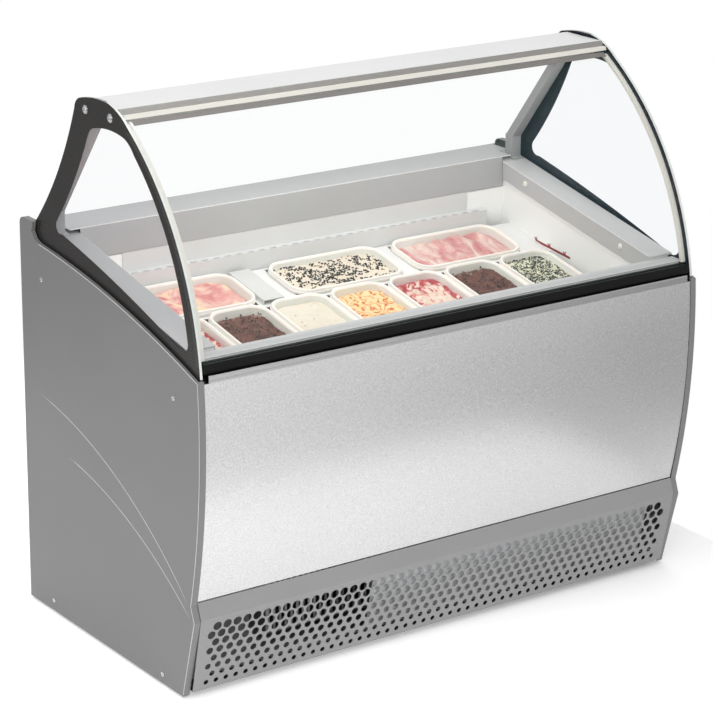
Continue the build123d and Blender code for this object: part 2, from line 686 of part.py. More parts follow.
# ---- tilting front glass -------------------------------------------------------------------------
def front_glass():
    """Curved front glass, a little wider at its foot than at the top."""
    reach = FRONT_GLASS_HALF + 20
    pane = arc_strip(GLASS_R, GLASS_R - GLASS_T, GLASS_FOOT_Z, GLASS_TOP_Z, -reach, reach)
    beyond = between_edges(FRONT_GLASS_HALF, FRONT_GLASS_HALF + 60, GLASS_FOOT_Z - 5, GLASS_TOP_Z + 5)
    return pane - beyond - mirror(beyond, about=Plane.YZ)


def glass_clamp():
    """Black clamp profile along the foot of the glass; the hinge knuckles run in its notches."""
    r = CLAMP_R
    y0 = HINGE_Y - r
    y1 = HINGE_Y + r
    bar = slab(-CLAMP_HALF, CLAMP_HALF, y0, y1, HINGE_Z, CLAMP_TOP)
    bar += rod_x(r, -CLAMP_HALF, CLAMP_HALF, HINGE_Y, HINGE_Z)
    bar -= arc_strip(GLASS_R, GLASS_R - GLASS_T, GLASS_FOOT_Z, 760, -CLAMP_HALF - 1, CLAMP_HALF + 1)
    for side in (-1, 1):
        x0 = side * KNUCKLE_X - KNUCKLE_W / 2 - 0.5
        x1 = side * KNUCKLE_X + KNUCKLE_W / 2 + 0.5
        bar -= rod_x(KNUCKLE_R + 0.5, x0, x1, HINGE_Y, HINGE_Z)
        bar -= prism([(HINGE_Y - 3, HINGE_Z), (HINGE_Y - 3, HINGE_Z - 14), (HINGE_Y + 14, HINGE_Z - 14),
                      (HINGE_Y + 14, HINGE_Z + 4.6), (HINGE_Y, HINGE_Z + 4.6)], x0, x1)
        bar -= rod_x(PIN_R, side * KNUCKLE_X - 14, side * KNUCKLE_X + 14, HINGE_Y, HINGE_Z)
    return bar


def hinge_pins():
    """Pins fixed in the clamp profile, turning in the knuckles."""
    return [rod_x(PIN_R, s * KNUCKLE_X - 14, s * KNUCKLE_X + 14, HINGE_Y, HINGE_Z) for s in (-1, 1)]


def hinge_knuckles():
    """Fixed knuckles on the top of the front wall."""
    out = []
    for side in (-1, 1):
        x0 = side * KNUCKLE_X - KNUCKLE_W / 2
        x1 = side * KNUCKLE_X + KNUCKLE_W / 2
        eye = rod_x(KNUCKLE_R, x0, x1, HINGE_Y, HINGE_Z)
        arm = slab(x0, x1, HINGE_Y, -329, HINGE_Z - 4, HINGE_Z + 4)
        bore = rod_x(PIN_R + RUN_CLEAR, x0 - 1, x1 + 1, HINGE_Y, HINGE_Z)
        out.append(eye + arm - bore)
    return out


def glass_top_seal():
    """Ivory seal along the top edge of the glass, closing on the canopy's front profile."""
    lip = [(arc_y(GLASS_R, GLASS_TOP_Z), GLASS_TOP_Z), (-47.0, GLASS_TOP_Z + 8), (-39.0, GLASS_TOP_Z + 8),
           (-38.6, GLASS_TOP_Z - 2), (arc_y(GLASS_R - GLASS_T, GLASS_TOP_Z), GLASS_TOP_Z)]
    return prism(lip, -FRONT_GLASS_HALF, FRONT_GLASS_HALF)


def glass_side_seals():
    """Ivory seals behind both side edges of the glass."""
    r = GLASS_R - GLASS_T
    z0 = CLAMP_TOP + 3
    z1 = GLASS_TOP_Z - 8
    strip = arc_strip(r, r - SEAL_T, z0, z1, FRONT_GLASS_HALF - 20, FRONT_GLASS_HALF + 20)
    right = strip & between_edges(FRONT_GLASS_HALF - SEAL_W, FRONT_GLASS_HALF, z0 - 5, z1 + 5)
    return [right, mirror(right, about=Plane.YZ)]


# ---- machinery -----------------------------------------------------------------------------------
def compressor():
    """Hermetic compressor on its mounting feet."""
    z0 = TRAY_Z + TRAY_T
    base = slab(240, 420, 80, 240, z0, z0 + 8)
    can = Pos(330, 160, z0 + 93) * Cylinder(78, 170)
    cap = slab(308, 352, 230, 264, z0 + 60, z0 + 130)
    shell = fillet(can.edges().filter_by(GeomType.CIRCLE), 24)
    return base + shell + cap


def condenser():
    """Finned condenser block with its end plates and pipe."""
    x0 = FAN_X - 150
    x1 = FAN_X + 150
    z0 = TRAY_Z + TRAY_T
    core = slab(x0, x1, -205, -150, z0 + 14, z0 + 300)
    for i in range(19):
        x = x0 + 15 + i * 15
        core -= slab(x - 4.5, x + 4.5, -206, -160, z0 + 18, z0 + 296)
    ends = slab(x0 - 3, x0, -210, -145, z0, z0 + 304) + slab(x1, x1 + 3, -210, -145, z0, z0 + 304)
    return core + ends


def fan_shroud():
    """Shroud plate behind the condenser with a round opening and the motor bracket."""
    x0 = FAN_X - 150
    x1 = FAN_X + 150
    z0 = TRAY_Z + TRAY_T
    y0 = -149.5
    plate = slab(x0, x1, y0, y0 + 2, z0, z0 + 304)
    ring = rod_y(FAN_R + 8, y0, FAN_Y + 12, FAN_X, FAN_Z)
    opening = rod_y(FAN_R + 5, y0 - 2, FAN_Y + 20, FAN_X, FAN_Z)
    motor = rod_y(34, FAN_Y + 14, FAN_Y + 70, FAN_X, FAN_Z)
    shaft = rod_y(4, FAN_Y - 12, FAN_Y + 14, FAN_X, FAN_Z)
    strut = slab(FAN_X - FAN_R - 8, FAN_X + FAN_R + 8, FAN_Y + 20, FAN_Y + 24, FAN_Z - 9, FAN_Z + 9)
    legs = [slab(FAN_X + s * (FAN_R + 6.5) - 1.5, FAN_X + s * (FAN_R + 6.5) + 1.5, FAN_Y + 8, FAN_Y + 24,
                 FAN_Z - 9, FAN_Z + 9) for s in (-1, 1)]
    return plate + ring - opening + strut + motor + shaft + legs[0] + legs[1]


def fan_blade():
    """Five-blade fan pressed on a hub that turns on the motor shaft."""
    hub = rod_y(20, FAN_Y - 10, FAN_Y + 12, FAN_X, FAN_Z)
    fan = hub
    for i in range(5):
        blade = Pos(58, 0, 0) * Rot(28, 0, 0) * Box(82, 30, 1.8)
        blade = Rot(0, i * 72, 0) * blade
        fan += Pos(FAN_X, FAN_Y, FAN_Z) * blade
    return fan - rod_y(4 + RUN_CLEAR, FAN_Y - 20, FAN_Y + 20, FAN_X, FAN_Z)


def write(name, shape):
    """Write one named node as a STEP file; a list becomes one node of several solids."""
    if isinstance(shape, (list, tuple)):
        shape = Compound(children=list(shape))
    solids = shape.solids()
    assert solids, name
    if len(solids) == 1:
        shape = solids[0]
    else:
        shape = Compound(children=list(solids))
    shape.label = name
    export_step(shape, f"parts/{name}.step")
    box = shape.bounding_box()
    print(f"{name:20s} {len(solids):3d}  X {box.min.X:8.1f} {box.max.X:8.1f}"
          f"  Y {box.min.Y:8.1f} {box.max.Y:8.1f}  Z {box.min.Z:8.1f} {box.max.Z:8.1f}")


def main():
    """Build and write every node."""
    os.makedirs("parts", exist_ok=True)
    nodes = {
        "side_panel_left": side_panel(-1),
        "side_panel_right": side_panel(1),
        "side_frames": side_frames(),
        "side_screws": side_screws(),
        "front_panel": front_panel(),
        "trim_profile": trim_profile(),
        "base_grille": base_grille(),
        "grille_baffle": grille_baffle(),
        "feet": feet(),
        "base_tray": base_tray(),
        "bay_walls": bay_walls(),
        "insulated_body": insulated_body(),
        "tank_liner": tank_liner(),
        "rim_left": rim_side(-1),
        "rim_right": rim_side(1),
        "rim_front": rim_front(),
        "rim_plugs": rim_plugs(),
        "rear_shelf": rear_shelf(),
        "evaporator_cover": evaporator_cover(),
        "evaporator_coil": evaporator_coil(),
        "pan_rails": pan_rails(),
        "filler_strip": filler_strip(),
        "rear_panel": rear_panel(),
        "rear_grille": rear_grille(),
        "control_panel": control_panel(),
        "display_window": display_window(),
        "rocker_switch": rocker_switch(),
        "switch_box": switch_box(),
        "cable_inlet": cable_inlet(),
        "canopy_top": canopy_top(),
        "canopy_front": canopy_front(),
        "light_diffuser": light_diffuser(),
        "post_left": post(-1),
        "post_right": post(1),
        "end_glass_left": end_glass(-1),
        "end_glass_right": end_glass(1),
        "end_bolts": end_bolts(),
        "front_glass": front_glass(),
        "glass_clamp": glass_clamp(),
        "hinge_pins": hinge_pins(),
        "hinge_knuckles": hinge_knuckles(),
        "glass_top_seal": glass_top_seal(),
        "glass_side_seals": glass_side_seals(),
        "compressor": compressor(),
        "condenser": condenser(),
        "fan_shroud": fan_shroud(),
        "fan_blade": fan_blade(),
    }
    for i in range(FRONT_COUNT):
        nodes[f"tub_front_{i + 1}"] = front_tub(i)
    for i in range(len(REAR_CENTRES)):
        nodes[f"tub_rear_{i + 1}"] = rear_tub(i)
    for name, shape in nodes.items():
        write(name, shape)


main()
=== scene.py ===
"""Looks of a curved-glass ice-cream display freezer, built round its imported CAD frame. Metres."""

import math
import random

import bmesh
import bpy
from mathutils import Matrix, Vector, noise


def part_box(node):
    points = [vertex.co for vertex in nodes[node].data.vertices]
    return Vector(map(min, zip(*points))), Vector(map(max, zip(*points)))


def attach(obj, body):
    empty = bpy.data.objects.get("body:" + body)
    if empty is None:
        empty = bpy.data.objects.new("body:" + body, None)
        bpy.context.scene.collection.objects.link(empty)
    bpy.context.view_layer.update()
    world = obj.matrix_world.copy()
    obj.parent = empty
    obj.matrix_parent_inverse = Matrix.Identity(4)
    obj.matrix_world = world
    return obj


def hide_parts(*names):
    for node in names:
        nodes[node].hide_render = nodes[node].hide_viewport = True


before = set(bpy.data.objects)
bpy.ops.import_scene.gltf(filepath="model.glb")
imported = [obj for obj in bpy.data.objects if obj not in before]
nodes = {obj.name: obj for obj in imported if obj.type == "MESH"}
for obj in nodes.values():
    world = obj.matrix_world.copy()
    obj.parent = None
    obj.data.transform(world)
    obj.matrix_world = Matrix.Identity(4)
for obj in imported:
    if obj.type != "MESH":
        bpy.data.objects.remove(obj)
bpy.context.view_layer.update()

SLOPE = 0.205                      # rise of the tub bed and the rims per metre towards the rear
TILT = math.atan(SLOPE)
BED_Z = 0.690                      # height of the tub rims above the floor at Y = 0
BED = Matrix.Translation((0, 0, BED_Z)) @ Matrix.Rotation(TILT, 4, "X")
ARC_Y = 0.2913                     # centre of the front glass curve
ARC_Z = 0.6331
GLASS_R = 0.645                    # outer radius of the front glass
END_R = 0.649                      # radius of the end glasses' front edge, about the same centre
LEAN = math.radians(1.07)          # the end glasses spread outwards going down
GLASS_TOP = 1.180                  # height the lean turns about
END_X = 0.643                      # outer face of an end glass at that height
FRONT_HALF = 0.635                 # half width of the front glass at that height
BOLTS = ((0.093, 1.176), (-0.007, 1.177))   # where the end glasses are bolted, in (y, z)
PANEL_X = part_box("side_panel_right")[1].x   # outer face of a side panel
TUB_LONG = 0.305                   # a tub over its rim
TUB_SHORT = 0.153
FRONT_ROW_BACK = 0.062             # rear edge of the front row of tubs, along the bed
REAR_ROW_FRONT = 0.066             # front edge of the rear row
ROOM_TOP = 0.55                    # brightness of the studio overhead
ROOM_BRIGHT = 1.25                 # in front of the object, to the left
ROOM_DIM = 0.25                    # and in front, to the right


# ---- materials -----------------------------------------------------------------------------------
MATS = {}                          # every finished material, by name


class Mat:
    """A small helper round one node material."""

    def __init__(self, name, color, rough, metal=0.0, **sockets):
        self.mat = MATS[name] = bpy.data.materials.new(name)
        self.mat.use_nodes = True
        self.nt = self.mat.node_tree
        self.bsdf = self.nt.nodes["Principled BSDF"]
        self.set("Base Color", (*color, 1.0))
        self.set("Roughness", rough)
        self.set("Metallic", metal)
        for key, value in sockets.items():
            self.set(key.replace("_", " "), value)
        self.coord = self.nt.nodes.new("ShaderNodeTexCoord").outputs["Object"]

    def set(self, socket, value):
        self.bsdf.inputs[socket].default_value = value

    def node(self, kind, inputs=(), **props):
        n = self.nt.nodes.new(kind)
        for key, value in props.items():
            setattr(n, key, value)
        for key, value in dict(inputs).items():
            if hasattr(value, "is_output"):
                self.nt.links.new(value, n.inputs[key])
            else:
                n.inputs[key].default_value = value
        return n

    def link(self, out, socket):
        self.nt.links.new(out, self.bsdf.inputs[socket])

    def stretch(self, scale):
        return self.node("ShaderNodeMapping", {"Vector": self.coord, "Scale": scale}).outputs[0]

    def noise(self, scale, detail=4.0, rough=0.55, vector=None, distort=0.0):
        inputs = {"Vector": vector or self.coord, "Scale": scale, "Detail": detail, "Roughness": rough,
                  "Distortion": distort}
        return self.node("ShaderNodeTexNoise", inputs).outputs["Fac"]

    def ramp(self, fac, stops):
        n = self.node("ShaderNodeValToRGB", {"Fac": fac})
        while len(n.color_ramp.elements) < len(stops):
            n.color_ramp.elements.new(0.5)
        for element, (pos, color) in zip(n.color_ramp.elements, stops):
            element.position = pos
            element.color = (*color, 1.0)
        return n.outputs["Color"]

    def tones(self, fac, color, spread, low, high):
        dark = tuple(c * (1 - spread) for c in color)
        light = tuple(min(1, c * (1 + spread)) for c in color)
        self.link(self.ramp(fac, [(low, dark), (high, light)]), "Base Color")

    def grey_ramp(self, fac, low, high, v0, v1):
        inputs = {"Value": fac, "From Min": low, "From Max": high, "To Min": v0, "To Max": v1}
        return self.node("ShaderNodeMapRange", inputs).outputs["Result"]

    def mix(self, fac, a, b):
        n = self.node("ShaderNodeMix", data_type="RGBA")
        for index, value in ((0, fac), (6, a), (7, b)):
            if hasattr(value, "is_output"):
                self.nt.links.new(value, n.inputs[index])
            else:
                n.inputs[index].default_value = value if index == 0 else (*value, 1.0)
        return n.outputs[2]

    def bump(self, height, strength, distance=0.001, radius=0.0):
        n = self.node("ShaderNodeBump", {"Height": height, "Strength": strength, "Distance": distance})
        if radius:
            b = self.node("ShaderNodeBevel", {"Radius": radius}, samples=4)
            self.nt.links.new(b.outputs[0], n.inputs["Normal"])
        self.link(n.outputs[0], "Normal")


def painted(name, color, rough, spread=0.03):
    """Powder-coated sheet: a very fine orange-peel bump and a faint drift in tone."""
    m = Mat(name, color, rough)
    m.tones(m.noise(3.0, 2.0), color, spread, 0.3, 0.7)
    grain = m.noise(1400.0, 2.0)
    m.link(m.grey_ramp(grain, 0.3, 0.7, rough - 0.04, rough + 0.05), "Roughness")
    m.bump(grain, 0.05, 0.0006, 0.0008)


def metal(name, color, rough, stretch=(1, 1, 1), scale=900.0, depth=0.05, spread=0.05):
    """Metal with a directional or even grain."""
    m = Mat(name, color, rough, 1.0)
    grain = m.noise(scale, 3.0, vector=m.stretch(stretch))
    m.tones(grain, color, spread, 0.25, 0.75)
    m.link(m.grey_ramp(m.noise(2.2, 1.0), 0.0, 1.0, rough - 0.05, rough + 0.06), "Roughness")
    m.bump(grain, depth, 0.0004, 0.0005)


def plastic(name, color, rough, spread=0.03, scale=500.0, bump=0.04, **sockets):
    """Moulded plastic with a faint surface texture."""
    m = Mat(name, color, rough, **sockets)
    skin = m.noise(scale, 2.0)
    m.tones(m.noise(9.0, 3.0), color, spread, 0.3, 0.7)
    m.link(m.grey_ramp(skin, 0.3, 0.7, rough - 0.04, rough + 0.06), "Roughness")
    m.bump(skin, bump, 0.0005, 0.0006)


def clear_glass(name, color, alpha):
    """Thin clear glass: mostly see-through, with a faint body tint and full gloss."""
    m = Mat(name, color, 0.02, Alpha=alpha)
    m.set("IOR", 1.52)
    dim = tuple(c * 0.985 for c in color)
    m.link(m.ramp(m.noise(1.6, 1.0), [(0.3, dim), (0.7, color)]), "Base Color")
    m.mat.surface_render_method = "BLENDED"


painted("side_paint", (0.195, 0.195, 0.195), 0.38)
painted("grille_paint", (0.27, 0.27, 0.27), 0.4)
painted("rim_grey", (0.50, 0.50, 0.50), 0.35)
# Painted shade: a darker copy of rim grey for the left rim, which sits in shade.
painted("rim_painted_shade", (0.37, 0.37, 0.37), 0.35)
# Painted shade: a slightly darker rim grey for a band along the front of the rim top.
painted("rim_band", (0.44, 0.44, 0.44), 0.35)
# Near-white for painted highlights along the sheet folds and edges, and for the white flange under each side
# rim.
painted("fold_light", (0.88, 0.88, 0.88), 0.3)
painted("shelf_grey", (0.42, 0.42, 0.42), 0.35)
painted("canopy_paint", (0.72, 0.72, 0.72), 0.35)
painted("rear_paint", (0.42, 0.42, 0.43), 0.45)
plastic("white_liner", (0.92, 0.92, 0.90), 0.3)
plastic("cover_white", (0.66, 0.66, 0.65), 0.35)
metal("stainless", (0.63, 0.63, 0.63), 0.27, scale=330.0, depth=0.0, spread=0.16)
painted("stainless_rail", (0.74, 0.735, 0.72), 0.3)
plastic("filler_grey", (0.60, 0.60, 0.58), 0.35)
metal("trim_metal", (0.48, 0.48, 0.48), 0.25, (0.02, 1, 1), 1500.0)
metal("canopy_metal", (0.36, 0.35, 0.33), 0.34, (0.03, 1, 1), 1600.0, 0.12, spread=0.16)
painted("post_metal", (0.33, 0.33, 0.33), 0.35)
metal("zinc", (0.55, 0.56, 0.57), 0.45, scale=60.0, spread=0.12)
metal("screw_metal", (0.62, 0.62, 0.62), 0.25, scale=800.0)
metal("fin_metal", (0.5, 0.5, 0.51), 0.35, (1, 1, 0.05), 900.0)
plastic("black_band", (0.004, 0.004, 0.004), 0.45, 0.2, bump=0.03, Specular_IOR_Level=0.15)
plastic("black_plastic", (0.02, 0.02, 0.02), 0.45, 0.2)
plastic("enamel", (0.016, 0.014, 0.013), 0.25, 0.15, bump=0.01, Specular_IOR_Level=0.3)
# Painted highlight: grey for fine lines where the front glass's edges show through the end glasses.
plastic("enamel_line", (0.16, 0.155, 0.15), 0.3, 0.1)
plastic("glass_edge", (0.66, 0.69, 0.66), 0.2, 0.1)
# Painted shade: near-black for a sheet low behind the grille foot, dark where only shade shows through the
# bottom holes.
painted("bay_dark", (0.02, 0.02, 0.02), 0.6)
# Painted shadow: dark strip on the front glass under its top seal, where the canopy's underside lies in
# shade.
plastic("top_band", (0.16, 0.15, 0.14), 0.4, 0.1)
plastic("mark_red", (0.30, 0.022, 0.018), 0.5, 0.1)
plastic("display_black", (0.01, 0.012, 0.016), 0.08, 0.2, bump=0.0)
plastic("ivory_seal", (0.70, 0.68, 0.62), 0.4, 0.04)
plastic("foam_skin", (0.6, 0.6, 0.58), 0.6)
plastic("tub_white", (0.84, 0.80, 0.74), 0.30, 0.015, Subsurface_Weight=0.2,
        Subsurface_Scale=0.004)
painted("compressor_black", (0.012, 0.012, 0.012), 0.25, 0.1)
clear_glass("front_clear", (0.20, 0.42, 0.42), 0.022)
clear_glass("end_clear", (0.16, 0.26, 0.46), 0.026)
plastic("light_milk", (0.92, 0.92, 0.9), 0.3)
# Painted highlight: light grey for the pressed creases on the side panels.
painted("crease_light", (0.62, 0.62, 0.62), 0.3)

NODE_MATS = {
    "side_paint": ["side_panel_left", "side_panel_right"],
    "grille_paint": ["base_grille"],
    "rim_grey": ["rim_right", "rim_front"],
    "rim_painted_shade": ["rim_left"],
    "shelf_grey": ["rear_shelf"],
    "canopy_paint": ["canopy_top"],
    "rear_paint": ["rear_panel", "rear_grille"],
    "white_liner": ["tank_liner"],
    "cover_white": ["evaporator_cover"],
    "stainless": ["front_panel"],
    "stainless_rail": ["pan_rails"],
    "trim_metal": ["trim_profile"],
    "filler_grey": ["filler_strip"],
    "canopy_metal": ["canopy_front"],
    "post_metal": ["post_left", "post_right"],
    "zinc": ["side_frames", "base_tray", "bay_walls", "grille_baffle", "fan_shroud", "hinge_knuckles"],
    "screw_metal": ["hinge_pins"],
    "fin_metal": ["condenser", "evaporator_coil"],
    "black_band": ["glass_clamp"],
    "black_plastic": ["control_panel", "rocker_switch", "switch_box", "cable_inlet", "fan_blade", "feet"],
    "display_black": ["display_window"],
    "ivory_seal": ["glass_top_seal", "glass_side_seals"],
    "foam_skin": ["insulated_body"],
    "compressor_black": ["compressor"],
    "end_clear": ["end_glass_left", "end_glass_right"],
    "light_milk": ["light_diffuser"],
}


def dress_nodes():
    """Give every CAD node that stays visible its finished material."""
    for mat, names in NODE_MATS.items():
        for name in names:
            data = nodes[name].data
            data.materials.clear()
            data.materials.append(MATS[mat])


# ---- mesh helpers --------------------------------------------------------------------------------
def piece(name, verts, faces, mat, body, slot, smooth=True, matrix=None):
    """New mesh object that rides on a body, with the given materials; slot is not used."""
    data = bpy.data.meshes.new(name)
    data.from_pydata([tuple(v) for v in verts], [], faces)
    if matrix:
        data.transform(matrix)
    data.validate()
    bm = bmesh.new()
    bm.from_mesh(data)
    bmesh.ops.recalc_face_normals(bm, faces=bm.faces)
    bm.to_mesh(data)
    bm.free()
    for poly in data.polygons:
        poly.use_smooth = smooth
    obj = bpy.data.objects.new(name, data)
    bpy.context.scene.collection.objects.link(obj)
    for m in mat if isinstance(mat, (list, tuple)) else [mat]:
        data.materials.append(MATS[m])
    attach(obj, body)
    return obj


def loft(rings):
    """Join closed rings of equal length into a skin, closed at both ends."""
    n = len(rings[0])
    verts = [p for ring in rings for p in ring]
    faces = []
    for k in range(len(rings) - 1):
        for i in range(n):
            j = (i + 1) % n
            faces.append((k * n + i, k * n + j, (k + 1) * n + j, (k + 1) * n + i))
    faces.append(tuple(range(n))[::-1])
    faces.append(tuple((len(rings) - 1) * n + i for i in range(n)))
    return verts, faces


def rounded_rect(lx, ly, r, z, per_corner=10, per_side=8):
    """Closed ring of a rounded rectangle at height z."""
    r = min(r, lx / 2 - 1e-5, ly / 2 - 1e-5)
    ring = []
    corners = ((1, 1, 0), (-1, 1, 90), (-1, -1, 180), (1, -1, 270))
    for k, (sx, sy, start) in enumerate(corners):
        cx = sx * (lx / 2 - r)
        cy = sy * (ly / 2 - r)
        for i in range(per_corner + 1):
            a = math.radians(start + 90 * i / per_corner)
            ring.append(Vector((cx + r * math.cos(a), cy + r * math.sin(a), z)))
        nsx, nsy, nstart = corners[(k + 1) % 4]
        a = math.radians(nstart)
        nxt = Vector((nsx * (lx / 2 - r) + r * math.cos(a), nsy * (ly / 2 - r) + r * math.sin(a), z))
        last = ring[-1]
        for i in range(1, per_side):
            ring.append(last.lerp(nxt, i / per_side))
    return ring


def ring_about(origin, axis, h, radii):
    """Closed ring round an axis, h along it from the origin, with one radius for each of its points."""
    axis = Vector(axis).normalized()
    side = axis.orthogonal().normalized()
    up = axis.cross(side)
    ring = []
    for i, r in enumerate(radii):
        t = 2 * math.pi * i / len(radii)
        ring.append(Vector(origin) + axis * h + (side * math.cos(t) + up * math.sin(t)) * r)
    return ring


def revolve(profile, origin, axis, segments):
    """Surface of revolution: profile is (radius, distance along axis)."""
    return loft([ring_about(origin, axis, h, [r] * segments) for r, h in profile])


def merge(parts):
    """Concatenate several (verts, faces) lists."""
    verts = []
    faces = []
    for v, f in parts:
        base = len(verts)
        verts += list(v)
        faces += [tuple(i + base for i in face) for face in f]
    return verts, faces


def arc_points(p0, p1, p2, count):
    """Points of the circle through three (y, z) points, from the first to the last."""
    (ax, ay), (bx, by), (cx, cy) = p0, p1, p2
    a2 = ax * ax + ay * ay
    b2 = bx * bx + by * by
    c2 = cx * cx + cy * cy
    d = 2 * (ax * (by - cy) + bx * (cy - ay) + cx * (ay - by))
    ux = (a2 * (by - cy) + b2 * (cy - ay) + c2 * (ay - by)) / d
    uy = (a2 * (cx - bx) + b2 * (ax - cx) + c2 * (bx - ax)) / d
    r = math.hypot(ax - ux, ay - uy)
    t = [math.atan2(y - uy, x - ux) for x, y in (p0, p1, p2)]
    turn = (t[2] - t[0]) % (2 * math.pi)
    if (t[1] - t[0]) % (2 * math.pi) > turn:
        turn -= 2 * math.pi
    return [(ux + r * math.cos(t[0] + turn * i / count), uy + r * math.sin(t[0] + turn * i / count))
            for i in range(count + 1)]


def arc_y(radius, z):
    """Y of the front curve of this radius at height z."""
    return ARC_Y - math.sqrt(radius ** 2 - (z - ARC_Z) ** 2)


# ---- glass ---------------------------------------------------------------------------------------
def edge_half(z):
    """Half width of the front glass at height z; its edges follow the leaning end glasses."""
    return FRONT_HALF + (GLASS_TOP - z) * math.tan(LEAN)


def lean(side):
    """Turn that carries an upright detail onto the leaning end glass."""
    pivot = Matrix.Translation((side * END_X, 0, GLASS_TOP))
    return pivot @ Matrix.Rotation(-side * LEAN, 4, "Y") @ pivot.inverted()


def strip(path, half_width, half_thick, normal):
    """Thin flat bar along a path, lying on a surface with this normal."""
    normal = Vector(normal).normalized()
    rings = []
    for i, p in enumerate(path):
        along = (Vector(path[min(i + 1, len(path) - 1)]) - Vector(path[max(i - 1, 0)])).normalized()
        across = normal.cross(along).normalized() * half_width
        lift = normal * half_thick
        p = Vector(p)
        rings.append([p + across + lift, p - across + lift, p - across - lift, p + across - lift])
    return loft(rings)


def front_pane():
    """Smooth curved front glass with ground, slightly green edges."""
    lo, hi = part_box("front_glass")
    thick = 0.006
    chamfer = 0.0008
    steps = 72
    a0 = math.asin((lo.z - ARC_Z) / (GLASS_R - thick / 2))
    a1 = math.asin((hi.z - ARC_Z) / (GLASS_R - thick / 2))
    angles = [a0 + (a1 - a0) * i / steps for i in range(steps + 1)]
    rings = []
    for side, step in ((-1, 0.0), (-1, chamfer), (1, chamfer), (1, 0.0)):
        inset = chamfer - step
        ring = []
        for r, turns in ((GLASS_R - inset, angles), (GLASS_R - thick + inset, angles[::-1])):
            for a in turns:
                z = ARC_Z + r * math.sin(a)
                ring.append(Vector((side * (edge_half(z) - step), ARC_Y - r * math.cos(a), z)))
        rings.append(ring)
    obj = piece("front_glass_pane", *loft(rings), "front_clear", "front_glass_unit", "clear_glass")
    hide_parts("front_glass")
    edge_split = obj.modifiers.new("split", "EDGE_SPLIT")
    edge_split.split_angle = math.radians(40)


def end_outline(inset=0.0):
    """Outline of an end glass in (y, z), pulled in a little all round."""
    z0, z1 = 0.716, 1.168
    heights = [z0 + (z1 - z0) * i / 40 for i in range(41)]
    pts = [(arc_y(END_R - inset, z), z) for z in heights]
    pts += arc_points(pts[-1], (-0.030, 1.196 - inset), (0.008, 1.2065 - inset), 10)[1:]
    pts += arc_points((0.008, 1.2065 - inset), (0.062, 1.206 - inset), (0.115, 1.197 - inset), 8)[1:]
    pts += arc_points((0.115, 1.197 - inset), (0.131 - inset, 1.188), (0.139 - inset, 1.171), 8)[1:]
    pts += arc_points((0.139 - inset, 1.171), (0.211 - inset, 1.0206), (0.312 - inset, 0.888), 30)[1:]
    pts += arc_points((0.312 - inset, 0.888), (0.327 - inset, 0.864), (0.312 - inset, 0.843), 10)[1:]
    pts += arc_points((0.312 - inset, 0.843), (-0.030, 0.792 + inset), (-0.343 + inset, 0.700), 40)[1:]
    return pts


WINDOW = {  # the clear window in the enamel border of an end glass, in (y, z)
    "front_low": (-0.307, 0.776), "front_mid": (-0.2325, 0.963), "front_high": (-0.100, 1.118),
    "top_front": (-0.062, 1.1455), "top_mid": (-0.002, 1.1515), "top_rear": (0.056, 1.1435),
    "rear_high": (0.083, 1.124), "rear_mid": (0.140, 1.018), "rear_low": (0.214, 0.915),
    "corner_rear": (0.219, 0.889), "low_rear": (0.196, 0.879), "low_mid": (-0.040, 0.8205),
    "low_front": (-0.282, 0.7485), "corner_front": (-0.301, 0.7545),
}
WINDOW_LIFT = {"left": 0.011, "right": 0.002}   # how far each window's lower edge is raised


def window_outline(lift):
    """Outline of the clear window; lift raises its lower edge."""
    w = dict(WINDOW)
    for key, share in (("low_rear", 0.8), ("corner_rear", 0.8), ("low_mid", 1.0), ("low_front", 0.8),
                       ("corner_front", 0.8)):
        w[key] = (w[key][0], w[key][1] + lift * share)
    pts = arc_points(w["front_low"], w["front_mid"], w["front_high"], 40)
    pts += arc_points(w["front_high"], (-0.083, 1.1345), w["top_front"], 6)[1:]
    pts += arc_points(w["top_front"], w["top_mid"], w["top_rear"], 12)[1:]
    pts += arc_points(w["top_rear"], (0.072, 1.1375), w["rear_high"], 6)[1:]
    pts += arc_points(w["rear_high"], w["rear_mid"], w["rear_low"], 24)[1:]
    pts += arc_points(w["rear_low"], w["corner_rear"], w["low_rear"], 8)[1:]
    pts += arc_points(w["low_rear"], w["low_mid"], w["low_front"], 40)[1:]
    pts += arc_points(w["low_front"], w["corner_front"], w["front_low"], 8)[1:-1]
    return pts


def flat_plate(outer, holes, x0, x1):
    """Plate between two x planes from an outline with holes, by a filled 2D curve."""
    curve = bpy.data.curves.new("plate", "CURVE")
    curve.dimensions = "2D"
    curve.fill_mode = "BOTH"
    for pts in [outer] + holes:
        spline = curve.splines.new("POLY")
        spline.points.add(len(pts) - 1)
        for point, (y, z) in zip(spline.points, pts):
            point.co = (y, z, 0, 1)
        spline.use_cyclic_u = True
    curve.extrude = abs(x1 - x0) / 2
    tmp = bpy.data.objects.new("plate_tmp", curve)
    bpy.context.scene.collection.objects.link(tmp)
    data = bpy.data.meshes.new_from_object(tmp.evaluated_get(bpy.context.evaluated_depsgraph_get()))
    bpy.data.objects.remove(tmp)
    mid = (x0 + x1) / 2
    verts = [Vector((mid + v.co.z, v.co.x, v.co.y)) for v in data.vertices]
    faces = [tuple(p.vertices) for p in data.polygons]
    bpy.data.meshes.remove(data)
    return verts, faces


def circle(y, z, r):
    """Small closed circle in (y, z)."""
    count = 24
    return [(y + r * math.cos(2 * math.pi * i / count), z + r * math.sin(2 * math.pi * i / count))
            for i in range(count)]


def weld(obj):
    """Merge doubled vertices of a new piece."""
    bm = bmesh.new()
    bm.from_mesh(obj.data)
    bmesh.ops.remove_doubles(bm, verts=bm.verts, dist=1e-5)
    bmesh.ops.recalc_face_normals(bm, faces=bm.faces)
    bm.to_mesh(obj.data)
    bm.free()


